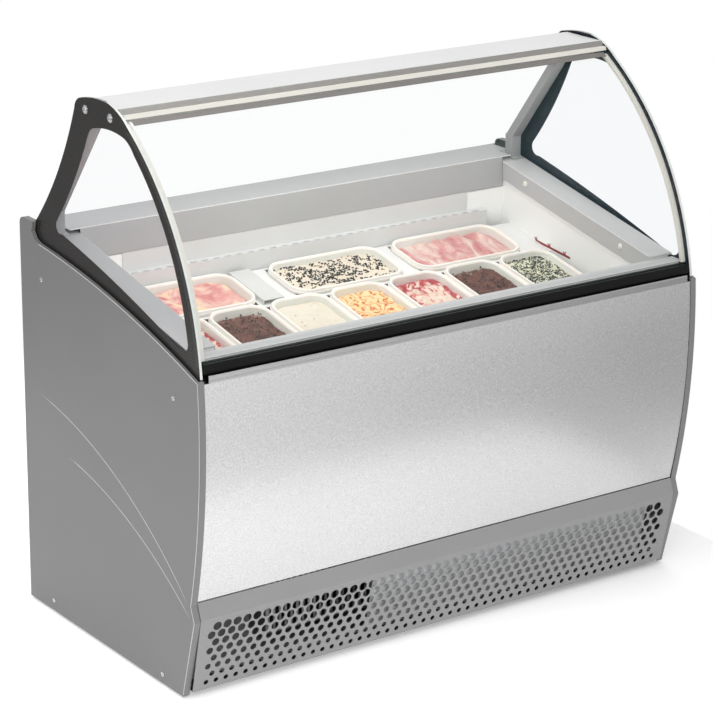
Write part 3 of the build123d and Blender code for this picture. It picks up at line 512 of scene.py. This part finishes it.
def end_prints():
    """Black enamel borders on the end glasses, their ground front edges and fine grey lines along them:
    painted highlights where the front glass's edges show through.
    """
    for side, name in ((-1, "left"), (1, "right")):
        x0 = side * (END_X + 0.00005)
        x1 = side * (END_X + 0.0003)
        holes = [window_outline(WINDOW_LIFT[name])] + [circle(y, z, 0.0043) for y, z in BOLTS]
        verts, faces = flat_plate(end_outline(0.0004), holes, x0, x1)
        obj = piece("end_print_" + name, verts, faces, "enamel", "cabinet", "black_plastic", smooth=False,
                    matrix=lean(side))
        weld(obj)
        outline = end_outline()[:60]
        rings = []
        for (y, z), (yi, zi) in zip(outline, end_outline(0.0006)[:60]):
            rings.append([Vector((side * x, p, q)) for x, p, q in
                          ((0.6372, y, z), (0.6428, y, z), (0.6428, yi, zi), (0.6372, yi, zi))])
        piece("end_edge_" + name, *loft(rings), "glass_edge", "cabinet", "clear_glass", smooth=False,
              matrix=lean(side))
        parts = []
        # Painted highlights: three fine lines along the front edge, following the front glass's edges.
        for inset, width in ((0.0030, 0.0003), (0.0062, 0.0003), (0.0105, 0.00025)):
            heights = [0.74 + 0.01 * i for i in range(43)]
            path = [(side * (END_X + 0.0003), arc_y(END_R - inset, z), z) for z in heights]
            parts.append(strip(path, width, 0.00008, (side, 0, 0)))
        piece("end_lines_" + name, *merge(parts), "enamel_line", "cabinet", "black_plastic", smooth=False,
              matrix=lean(side))


# ---- fasteners -----------------------------------------------------------------------------------
def screw_head(origin, axis, r, h):
    """Domed head with a cross recess cut as a sunk star."""
    seg = 32
    dome = ((1.0, 0.0), (1.0, 0.35), (0.93, 0.66), (0.78, 0.86), (0.6, 0.97))
    rings = [ring_about(origin, axis, h * high, [r * wide] * seg) for wide, high in dome]
    lobes = [0.50 if i % 8 in (0, 1, 7) else 0.17 for i in range(seg)]
    for high, scale in ((1.0, 1.0), (0.45, 0.8)):
        rings.append(ring_about(origin, axis, h * high, [r * lobe * scale for lobe in lobes]))
    return loft(rings)


WASHER = ((0.0095, 0.0), (0.0095, 0.0012), (0.009, 0.0016), (0.0066, 0.0016))   # radius, height
PLUG = ((0.0070, 0.0), (0.0070, 0.0008), (0.0062, 0.0020), (0.0045, 0.0027), (0.0018, 0.0030))
RIM_X = 0.577                      # inner face of a side rim


def fasteners():
    """Screws, glass bolts and rim plugs, each on the CAD solid it stands for."""
    places = ((0.270, 0.771), (-0.264, 0.655), (0.253, 0.031), (-0.207, 0.027))
    heads = [screw_head((s * PANEL_X, y, z), (s, 0, 0), 0.0056, 0.0021)
             for s in (-1, 1) for y, z in places]
    obj = piece("side_screw_heads", *merge(heads), "screw_metal", "cabinet", "stainless")
    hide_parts("side_screws")
    parts = []
    for s in (-1, 1):
        for y, z in BOLTS:
            washer = revolve(WASHER, (s * END_X, y, z), (s, 0, 0), 40)
            head = screw_head((s * (END_X + WASHER[-1][1]), y, z), (s, 0, 0), 0.0066, 0.0033)
            parts += [([lean(s) @ v for v in verts], faces) for verts, faces in (washer, head)]
    obj = piece("end_glass_bolts", *merge(parts), "screw_metal", "cabinet", "stainless")
    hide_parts("end_bolts")
    parts = []
    for s in (-1, 1):
        for y in (0.155, -0.191):
            parts.append(revolve(PLUG, (s * RIM_X, y, 0.798 + SLOPE * y), (-s, 0, 0), 32))
    obj = piece("rim_plug_caps", *merge(parts), "tub_white", "cabinet", "white_plastic")
    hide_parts("rim_plugs")


def creases():
    """Two pressed decorative lines on each side panel, drawn as light raised strips: a painted highlight
    along each crease.
    """
    lines = (((0.2918, 0.5074), (0.0355, 0.4413), (-0.3078, 0.2232)),
             ((0.1706, 0.3958), (-0.0632, 0.3351), (-0.3167, 0.1926)))
    width = 0.0013
    steps = 48
    for side, name in ((-1, "left"), (1, "right")):
        parts = []
        for a, b, c in lines:
            pts = arc_points(a, b, c, steps)
            rings = []
            for i, (y, z) in enumerate(pts):
                (y0, z0), (y1, z1) = pts[max(i - 1, 0)], pts[min(i + 1, steps)]
                run = math.hypot(y1 - y0, z1 - z0)
                across_y, across_z = (z0 - z1) / run, (y1 - y0) / run
                w = width * min(1.0, i / 5 + 0.15, (steps - i) / 5 + 0.15)
                rings.append([Vector((side * (PANEL_X + h), y + across_y * o * w, z + across_z * o * w))
                              for o, h in ((-1, 0.00002), (-0.4, 0.0005), (0.4, 0.0005), (1, 0.00002))])
            parts.append(loft(rings))
        piece("side_crease_" + name, *merge(parts), "crease_light", "cabinet", "painted_steel")


def panel_edges(side, name):
    """Painted highlight along the folded edge of a side panel."""
    x = side * (PANEL_X + 0.0001)
    top_corner = (-0.3549, 0.7095)
    low_corner = (-0.3209, 0.2205)
    crest = arc_points(top_corner, (-0.039, 0.7978), (0.278, 0.8478), 40)
    front = arc_points(low_corner, (-0.3564, 0.466), top_corner, 30)
    low = [(-0.2875, 0.010), (-0.3335, 0.187), low_corner]
    parts = [strip([(x, y, z) for y, z in path], 0.0007, 0.00015, (side, 0, 0))
             for path in (crest, front, low)]
    piece("panel_edge_" + name, *merge(parts), "fold_light", "cabinet", "painted_steel", smooth=False)


def rim_folds(side, name):
    """Painted highlight along the fold at the top of a side rim, and the white flange below it."""
    path = [(side * (RIM_X - 0.0001), y, 0.8173 + SLOPE * y) for y in (-0.286, -0.15, 0, 0.15, 0.24)]
    flange = [(side * (RIM_X + 0.0042), y, z - 0.0490) for _, y, z in path]
    parts = [strip(path, 0.0008, 0.0002, (-side, 0, 0)), strip(flange, 0.0052, 0.0004, (-side, 0, 0))]
    piece("rim_fold_" + name, *merge(parts), "fold_light", "cabinet", "painted_steel", smooth=False)


def cross_bar(half_x, y, z, half_width, half_thick, normal):
    """Thin flat bar straight across the cabinet."""
    return strip([(-half_x, y, z), (half_x, y, z)], half_width, half_thick, normal)


def load_line():
    """Red mark on the right wall of the tank with three small ticks."""
    start = Vector((0.5818, 0.118, 0.701))
    end = Vector((0.5818, -0.011, 0.687))
    parts = [strip([start, end], 0.0027, 0.0002, (-1, 0, 0))]
    for t in (0.04, 0.42, 0.86):
        p = start.lerp(end, t)
        parts.append(strip([p + Vector((0, 0.007, 0.008)), p], 0.0016, 0.00025, (-1, 0, 0)))
        parts.append(strip([p + Vector((0, -0.001, 0.010)), p], 0.0013, 0.00025, (-1, 0, 0)))
    piece("load_line", *merge(parts), "mark_red", "cabinet", "white_plastic", smooth=False)


def edge_lines():
    """Painted highlights along the sheet folds and edges, painted shade along the rim front and under the
    grille foot, the load line and a painted shadow strip under the glass seal.
    """
    for side, name in ((-1, "left"), (1, "right")):
        panel_edges(side, name)
        rim_folds(side, name)
    # Painted highlights along the shelf's top edge and the front fold of the rim.
    shelf_fold = cross_bar(0.602, 0.2429, 0.8788, 0.0008, 0.0002, (0, -1, 0))
    front_fold = cross_bar(0.636, -0.3283, 0.7502, 0.0007, 0.0003, (0, 0, 1))
    # Painted shade: a near-black sheet low behind the grille's foot.
    foot_shade_sheet = cross_bar(0.642, -0.2690, 0.0171, 0.0270, 0.0006, (0, 0, 1))
    # Painted shade: a slightly darker band along the front of the rim top.
    front_painted_shade = cross_bar(0.637, -0.3155, 0.7501, 0.0120, 0.0002, (0, 0, 1))
    for name, bar, mat in (
            ("sheet_folds", merge([shelf_fold, front_fold]), "fold_light"),
            ("grille_foot_shade_sheet", foot_shade_sheet, "bay_dark"),
            ("rim_front_painted_shade", front_painted_shade, "rim_band")):
        piece(name, *bar, mat, "cabinet", "painted_steel", smooth=False)
    load_line()
    # Painted shadow: a dark strip on the glass just under the top seal.
    section = ((0.0001, 1.1700), (0.0004, 1.1705), (0.0004, 1.1770), (0.0001, 1.1775))
    rings = [[Vector((x, arc_y(GLASS_R + proud, z), z)) for proud, z in section] for x in (-0.622, 0.622)]
    piece("glass_top_shadow_strip", *loft(rings), "top_band", "front_glass_unit", "black_plastic", smooth=False)


# ---- tubs and ice cream --------------------------------------------------------------------------
FROST = (0.95, 0.93, 0.91)         # colour of the frost on the ice cream
TUB_RIM = [  # (inset from the outer rim, height) from the skirt's inner foot, over the rim, down inside
    (0.0024, -0.0127), (0.0004, -0.0127), (0.0, -0.0122), (0.0, -0.0068), (0.0005, -0.0062),
    (0.0016, -0.0060), (0.0019, -0.0056), (0.0019, -0.0012), (0.0024, -0.0003), (0.0032, 0.0),
    (0.0068, 0.0), (0.0080, -0.0007), (0.0084, -0.0020), (0.0100, -0.0026), (0.0104, -0.0040),
]


def tub_mesh(lx, ly):
    """Thin plastic tub with a stepped rim and rounded floor edges, drawn flat."""
    r = 0.042
    rings = []

    def ring(inset, z):
        rings.append(rounded_rect(lx - 2 * inset, ly - 2 * inset, max(r - inset, 0.008), z))

    outer = [(0.0100, -0.0060), (0.0186, -0.108), (0.0198, -0.113), (0.0240, -0.116)]
    ring(0.040, -0.116)
    for inset, z in outer[::-1]:
        ring(inset, z)
    ring(0.0090, -0.0040)
    ring(0.0034, -0.0048)
    for inset, z in TUB_RIM:
        ring(inset, z)
    for inset, z in ((0.0202, -0.108), (0.0226, -0.112), (0.040, -0.114)):
        ring(inset, z)
    return loft(rings)


def ridge(u):
    """Soft repeating ridge, 0 to 1."""
    return (0.5 + 0.5 * math.sin(u)) ** 1.2


def relief(kind, x, y, seed):
    """Height of the ice-cream surface over its mean, in metres."""
    v = Vector((x * 30 + seed * 7.3, y * 30, seed * 1.7))
    big = noise.noise(v * 0.9)
    mid = noise.noise(v * 2.6 + Vector((3, 1, 5)))
    fine = noise.noise(v * 9.0)
    if kind == "peaks":
        scoop = abs(((x + 0.25 * y) * 17 + 0.35 * big) % 1.0 - 0.5) * 2
        rear = max(0.0, min(1.0, (y + 0.015) / 0.055))
        return 0.011 * rear * scoop ** 1.3 - 0.004 * rear + 0.003 * big + 0.0015 * mid + 0.0004 * fine
    if kind == "waves":
        swing = 0.022 * noise.noise(Vector((y * 14, x * 9, seed)))
        return 0.006 * ridge((x + swing + 0.35 * y) * 80) + 0.0040 * big + 0.0018 * mid + 0.0005 * fine
    if kind == "swirl":
        a = math.atan2(y, x)
        d = math.hypot(x, y)
        return 0.0040 * ridge(d * 190 + 1.6 * a + 2.2 * big) + 0.0025 * mid + 0.0006 * fine
    if kind == "rough":
        return 0.003 * big + 0.0030 * mid + 0.0024 * fine + 0.0018 * noise.noise(v * 22)
    return 0.0022 * big + 0.0012 * mid + 0.0004 * fine


def ice_mesh(lx, ly, kind, seed, level, band):
    """Ice cream in a tub, closed below, drawn flat; also which of its faces lie in the edge band."""
    inset = 0.0112
    rows = 60
    swell = 0.0045
    rings = []
    base = rounded_rect(lx - 2 * inset, ly - 2 * inset, 0.031, 0.0, 16, 20)
    foot = [p * 0.985 + Vector((0, 0, level - 0.030)) for p in base]
    rings.append(foot)
    for k in range(rows):
        t = k / rows
        s = 1.0 - t
        ring = []
        for p in base:
            q = p * (s ** 0.92 if k else 1.0)
            edge = min(1.0, t * 9)
            h = relief(kind, q.x, q.y, seed) * (0.25 + 0.75 * edge)
            crown = swell * (1 - (1 - edge) ** 2) - swell * (1 - edge)
            creep = 0.0015 * noise.noise(Vector((q.x * 90, q.y * 90, seed))) * (1 - edge)
            ring.append(Vector((q.x, q.y, level + h + crown + creep)))
        rings.append(ring)
    verts, faces = loft(rings)
    edge_faces = []
    for i, face in enumerate(faces):
        c = verts[face[0]]
        reach = i // len(base) / rows
        wobble = noise.noise(Vector((c.x * 55, c.y * 55, seed)))
        wobble += 0.6 * noise.noise(Vector((c.x * 170, c.y * 170, 3)))
        edge_faces.append(len(face) == 4 and reach < band * (1 + 1.1 * wobble))
    return verts, faces, edge_faces


CRUMB_VERTS = [
    (1, 0, 0), (0, 1, 0), (-1, 0, 0), (0, -1, 0), (0, 0, 1), (0, 0, -1),
    (0.7, 0.7, 0.5), (-0.7, 0.6, 0.5), (-0.6, -0.7, 0.4), (0.7, -0.6, 0.5),
]
CRUMB_FACES = [
    (4, 6, 7), (4, 7, 8), (4, 8, 9), (4, 9, 6), (0, 1, 6), (1, 2, 7), (1, 7, 6), (2, 3, 8),
    (2, 8, 7), (3, 0, 9), (3, 9, 8), (0, 6, 9), (5, 1, 0), (5, 2, 1), (5, 3, 2), (5, 0, 3),
]


def crumbs(lx, ly, kind, seed, level, count, size, heap):
    """Scatter of small broken pieces pressed into the surface, in a heap of this size or, at 0, all over."""
    rng = random.Random(seed)
    margin = 0.018
    parts = []
    tries = 0
    while len(parts) < count and tries < count * 30:
        tries += 1
        x = rng.uniform(-lx / 2 + margin, lx / 2 - margin)
        y = rng.uniform(-ly / 2 + margin, ly / 2 - margin)
        if heap:
            far = math.hypot(x / (lx / 2), (y - 0.004) / (ly / 2)) / heap
            clump = 0.5 + 0.9 * noise.noise(Vector((x * 60 + seed, y * 80, seed * 0.3)))
            if clump < far * rng.uniform(0.35, 1.0):
                continue
        z = level + relief(kind, x, y, seed) + 0.0045
        s = size * rng.uniform(0.5, 1.25)
        verts = [Vector(corner) * s * rng.uniform(0.65, 1.1) for corner in CRUMB_VERTS]
        spin = Matrix.Rotation(rng.uniform(0, 6.28), 3, "Z")
        rot = spin @ Matrix.Rotation(rng.uniform(-0.7, 0.7), 3, "X")
        parts.append(([rot @ v + Vector((x, y, z)) for v in verts], CRUMB_FACES))
    return merge(parts)


def cream(name, scale=1.0, distort=0.0, stretch=(1, 1, 1), wave=None, rough=0.42, frost=0.25, bump=0.35,
          stops=()):
    """Ice cream: ripples of flavour from warped noise or waves, a little frost and a pitted surface."""
    m = Mat(name, stops[0][1], rough, Subsurface_Weight=0.25, Subsurface_Scale=0.004)
    m.set("Subsurface Radius", (1.0, 0.7, 0.5))
    vec = m.stretch(stretch)
    if wave:
        inputs = {"Vector": vec, "Detail": 2.5}
        inputs["Scale"], inputs["Distortion"], inputs["Detail Scale"] = wave
        fac = m.node("ShaderNodeTexWave", inputs, wave_type="BANDS").outputs["Fac"]
    else:
        fac = m.noise(scale, 5.0, 0.55, vec, distort)
    frosted = m.grey_ramp(m.noise(60.0, 4.0), 0.52, 0.8, 0.0, frost)
    m.link(m.mix(frosted, m.ramp(fac, stops), FROST), "Base Color")
    pits = m.noise(260.0, 4.0, 0.65)
    m.link(m.grey_ramp(pits, 0.3, 0.7, rough - 0.1, rough + 0.15), "Roughness")
    m.bump(pits, bump, 0.0012)


cream("ice_raspberry", 20.0, 2.2, (1.6, 0.8, 1), frost=0.05, stops=[
    (0.34, (0.40, 0.04, 0.05)), (0.42, (0.62, 0.20, 0.18)), (0.47, (0.74, 0.54, 0.45)),
    (0.66, (0.76, 0.68, 0.57))])
cream("ice_red", 40.0, 1.0, frost=0.02, stops=[
    (0.30, (0.27, 0.012, 0.025)), (0.55, (0.44, 0.05, 0.06)), (0.78, (0.70, 0.33, 0.28))])
cream("ice_chocolate", 46.0, 0.8, frost=0.05, rough=0.6, bump=1.0, stops=[
    (0.30, (0.060, 0.020, 0.012)), (0.55, (0.13, 0.046, 0.030)), (0.80, (0.21, 0.085, 0.060))])
cream("ice_crust", 60.0, 0.6, rough=0.6, bump=1.0, stops=[
    (0.30, (0.13, 0.055, 0.035)), (0.60, (0.30, 0.18, 0.13))])
cream("ice_vanilla", 14.0, 0.5, frost=0.1, stops=[(0.3, (0.66, 0.60, 0.48)), (0.7, (0.71, 0.65, 0.54))])
cream("ice_orange", wave=(11.0, 22.0, 2.6), stops=[
    (0.02, (0.48, 0.12, 0.03)), (0.10, (0.70, 0.28, 0.09)), (0.22, (0.82, 0.48, 0.20)),
    (0.80, (0.84, 0.60, 0.31))])
cream("ice_mint", 14.0, 0.5, frost=0.1, stops=[(0.3, (0.60, 0.60, 0.43)), (0.7, (0.67, 0.66, 0.52))])
cream("ice_cookie", 12.0, 0.8, frost=0.1, stops=[(0.3, (0.68, 0.58, 0.45)), (0.7, (0.74, 0.66, 0.54))])
cream("ice_rose", 16.0, 1.2, stops=[(0.30, (0.50, 0.15, 0.15)), (0.55, (0.62, 0.33, 0.30))])
cream("ice_pink", 13.0, 1.6, (1.8, 0.7, 1), stops=[
    (0.32, (0.52, 0.17, 0.17)), (0.44, (0.60, 0.29, 0.27)), (0.54, (0.66, 0.42, 0.37)),
    (0.70, (0.74, 0.62, 0.55))])
cream("ice_pink_gold", 9.0, 2.6, (1.2, 1.0, 1), stops=[
    (0.30, (0.54, 0.15, 0.14)), (0.42, (0.66, 0.30, 0.27)), (0.52, (0.74, 0.48, 0.40)),
    (0.59, (0.80, 0.62, 0.36)), (0.66, (0.74, 0.48, 0.40)), (0.80, (0.80, 0.68, 0.56))])
plastic("crumb_black", (0.012, 0.009, 0.008), 0.6, 0.4, 300.0, bump=0.6)
plastic("crumb_nut", (0.50, 0.30, 0.14), 0.6, 0.3, 300.0, bump=0.6)
plastic("crumb_cream", (0.76, 0.66, 0.46), 0.6, 0.2, 300.0, bump=0.6)
plastic("chunk_choc", (0.040, 0.016, 0.010), 0.5, 0.4, 300.0, bump=0.6)

FLAVOURS = {  # material, edge material, edge band, relief, level, scatter (material, count, size, heap)
    "tub_front_1": ("ice_raspberry", "ice_red", 0.22, "rough", -0.019, ("crumb_cream", 50, 0.0024, 0.8)),
    "tub_front_2": ("ice_chocolate", "ice_crust", 0.10, "rough", -0.018, ("chunk_choc", 190, 0.0026, 0.0)),
    "tub_front_3": ("ice_vanilla", "ice_vanilla", 0.0, "smooth", -0.016, ("crumb_nut", 30, 0.0019, 0.0)),
    "tub_front_4": ("ice_orange", "ice_orange", 0.0, "swirl", -0.018, None),
    "tub_front_5": ("ice_raspberry", "ice_red", 0.26, "swirl", -0.019, ("crumb_cream", 60, 0.0026, 0.7)),
    "tub_front_6": ("ice_chocolate", "ice_crust", 0.10, "rough", -0.018, ("chunk_choc", 190, 0.0026, 0.0)),
    "tub_front_7": ("ice_mint", "ice_mint", 0.0, "smooth", -0.016, ("crumb_black", 2600, 0.0018, 1.6)),
    "tub_rear_1": ("ice_pink_gold", "ice_rose", 0.06, "waves", -0.020, None),
    "tub_rear_2": ("ice_cookie", "ice_cookie", 0.0, "smooth", -0.016, ("crumb_black", 950, 0.0025, 0.95)),
    "tub_rear_3": ("ice_pink", "ice_pink", 0.0, "peaks", -0.018, None),
}


def tubs():
    """Plastic tubs with their ice cream, each riding on its own lifting body."""
    for seed, (node, (mat, edge_mat, band, kind, level, scatter)) in enumerate(FLAVOURS.items(), 1):
        lo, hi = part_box(node)
        if "front" in node:
            lx, ly, cy = TUB_SHORT, TUB_LONG, FRONT_ROW_BACK - TUB_LONG / 2
        else:
            lx, ly, cy = TUB_LONG, TUB_SHORT, REAR_ROW_FRONT + TUB_SHORT / 2
        place = BED @ Matrix.Translation(((lo.x + hi.x) / 2, cy, 0))
        tub = piece(node + "_shell", *tub_mesh(lx, ly), "tub_white", node, "white_plastic", matrix=place)
        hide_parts(node)
        verts, faces, edge_faces = ice_mesh(lx, ly, kind, seed, level, band)
        ice = piece(node + "_ice", verts, faces, [mat, edge_mat], node, "white_plastic", matrix=place)
        ice.data.polygons.foreach_set("material_index", [int(f) for f in edge_faces])
        if scatter:
            crumb_mat, count, size, heap = scatter
            bits = crumbs(lx, ly, kind, seed, level, count, size, heap)
            piece(node + "_bits", *bits, crumb_mat, node, "white_plastic", smooth=False, matrix=place)


# ---- stage ---------------------------------------------------------------------------------------
def area(name, location, target, size, power):
    """Soft box light aimed at a point."""
    data = bpy.data.lights.new(name, "AREA")
    data.shape = "RECTANGLE"
    data.size, data.size_y = size
    data.energy = power
    obj = bpy.data.objects.new(name, data)
    bpy.context.scene.collection.objects.link(obj)
    obj.location = location
    obj.rotation_euler = (Vector(target) - Vector(location)).to_track_quat("-Z", "Y").to_euler()
    obj.visible_camera = False


def studio_world():
    """White surround to the camera; a softer room, fading to the right in front, lights the object."""
    world = bpy.data.worlds.new("studio")
    bpy.context.scene.world = world
    world.use_nodes = True
    nt = world.node_tree
    room = nt.nodes["Background"]
    room.inputs[1].default_value = 1.0
    direction = nt.nodes.new("ShaderNodeTexCoord").outputs["Generated"]
    toward = nt.nodes.new("ShaderNodeVectorMath")
    toward.operation = "DOT_PRODUCT"
    toward.inputs[1].default_value = (0.82, -0.51, -0.26)
    ramp = nt.nodes.new("ShaderNodeValToRGB")
    while len(ramp.color_ramp.elements) < 4:
        ramp.color_ramp.elements.new(0.5)
    stops = ((0.40, ROOM_TOP), (0.84, ROOM_BRIGHT), (0.90, ROOM_BRIGHT), (0.975, ROOM_DIM))
    for element, (position, level) in zip(ramp.color_ramp.elements, stops):
        element.position = position
        element.color = (level, level, level, 1)
    nt.links.new(direction, toward.inputs[0])
    nt.links.new(toward.outputs["Value"], ramp.inputs[0])
    nt.links.new(ramp.outputs[0], room.inputs[0])
    white = nt.nodes.new("ShaderNodeBackground")
    white.inputs[0].default_value = (1, 1, 1, 1)
    mix = nt.nodes.new("ShaderNodeMixShader")
    nt.links.new(nt.nodes.new("ShaderNodeLightPath").outputs["Is Camera Ray"], mix.inputs[0])
    nt.links.new(room.outputs[0], mix.inputs[1])
    nt.links.new(white.outputs[0], mix.inputs[2])
    nt.links.new(mix.outputs[0], nt.nodes["World Output"].inputs[0])


def stage():
    """Pale floor with a painted glow, stronger to the left, soft studio light and a white surround."""
    data = bpy.data.meshes.new("floor")
    corners = [(-2.2, -1.1, 0), (0.85, -1.1, 0), (0.85, 1.9, 0), (-2.2, 1.9, 0)]
    data.from_pydata(corners, [], [(0, 1, 2, 3)])
    floor = bpy.data.objects.new("floor", data)
    bpy.context.scene.collection.objects.link(floor)
    m = Mat("floor_pale_glow", (0.93, 0.93, 0.93), 0.7)
    tone = m.noise(1.5, 3.0)
    m.link(m.ramp(tone, [(0.3, (0.955, 0.955, 0.955)), (0.7, (0.97, 0.97, 0.97))]), "Base Color")
    # Painted glow: the floor emits light, stronger to the left, so it reads white and lights the object from
    # below.
    m.set("Emission Color", (1, 1, 1, 1))
    across = m.node("ShaderNodeSeparateXYZ", {"Vector": m.coord}).outputs["X"]
    m.link(m.grey_ramp(across, -0.2, 0.9, 0.38, 0.14), "Emission Strength")
    data.materials.append(m.mat)
    studio_world()
    area("key", (-1.9, -2.6, 2.4), (-0.2, -0.3, 0.3), (1.8, 1.4), 40)
    area("top", (-0.2, 0.2, 4.2), (-0.2, 0.2, 0.0), (4.5, 3.5), 76)
    area("canopy_strip", (0.0, 0.035, 1.135), (0.0, 0.0, 0.69), (1.12, 0.05), 1.7)
    bpy.context.scene.view_settings.view_transform = "Standard"


def camera():
    """Camera at the reference viewing angle."""
    azimuth, elevation, roll = math.radians(-35.63), math.radians(18.27), math.radians(0.53)
    distance, shift_right, shift_up = 6.0, 0.016, 0.008
    level = math.cos(elevation)
    back = Vector((math.sin(azimuth) * level, -math.cos(azimuth) * level, math.sin(elevation)))
    right = Vector((0, 0, 1)).cross(back).normalized()
    up = back.cross(right)
    right, up = right * math.cos(roll) + up * math.sin(roll), up * math.cos(roll) - right * math.sin(roll)
    data = bpy.data.cameras.new("camera")
    data.sensor_width = 36.0
    data.lens = 134.55
    data.clip_end = 100.0
    obj = bpy.data.objects.new("camera", data)
    bpy.context.scene.collection.objects.link(obj)
    basis = Matrix((right, up, back)).transposed().to_4x4()
    basis.translation = Vector((0, 0, 0.55)) - right * shift_right - up * shift_up + back * distance
    obj.matrix_world = basis
    bpy.context.scene.camera = obj


camera()
stage()
dress_nodes()
front_pane()
end_prints()
fasteners()
creases()
edge_lines()
tubs()

bpy.context.view_layer.update()
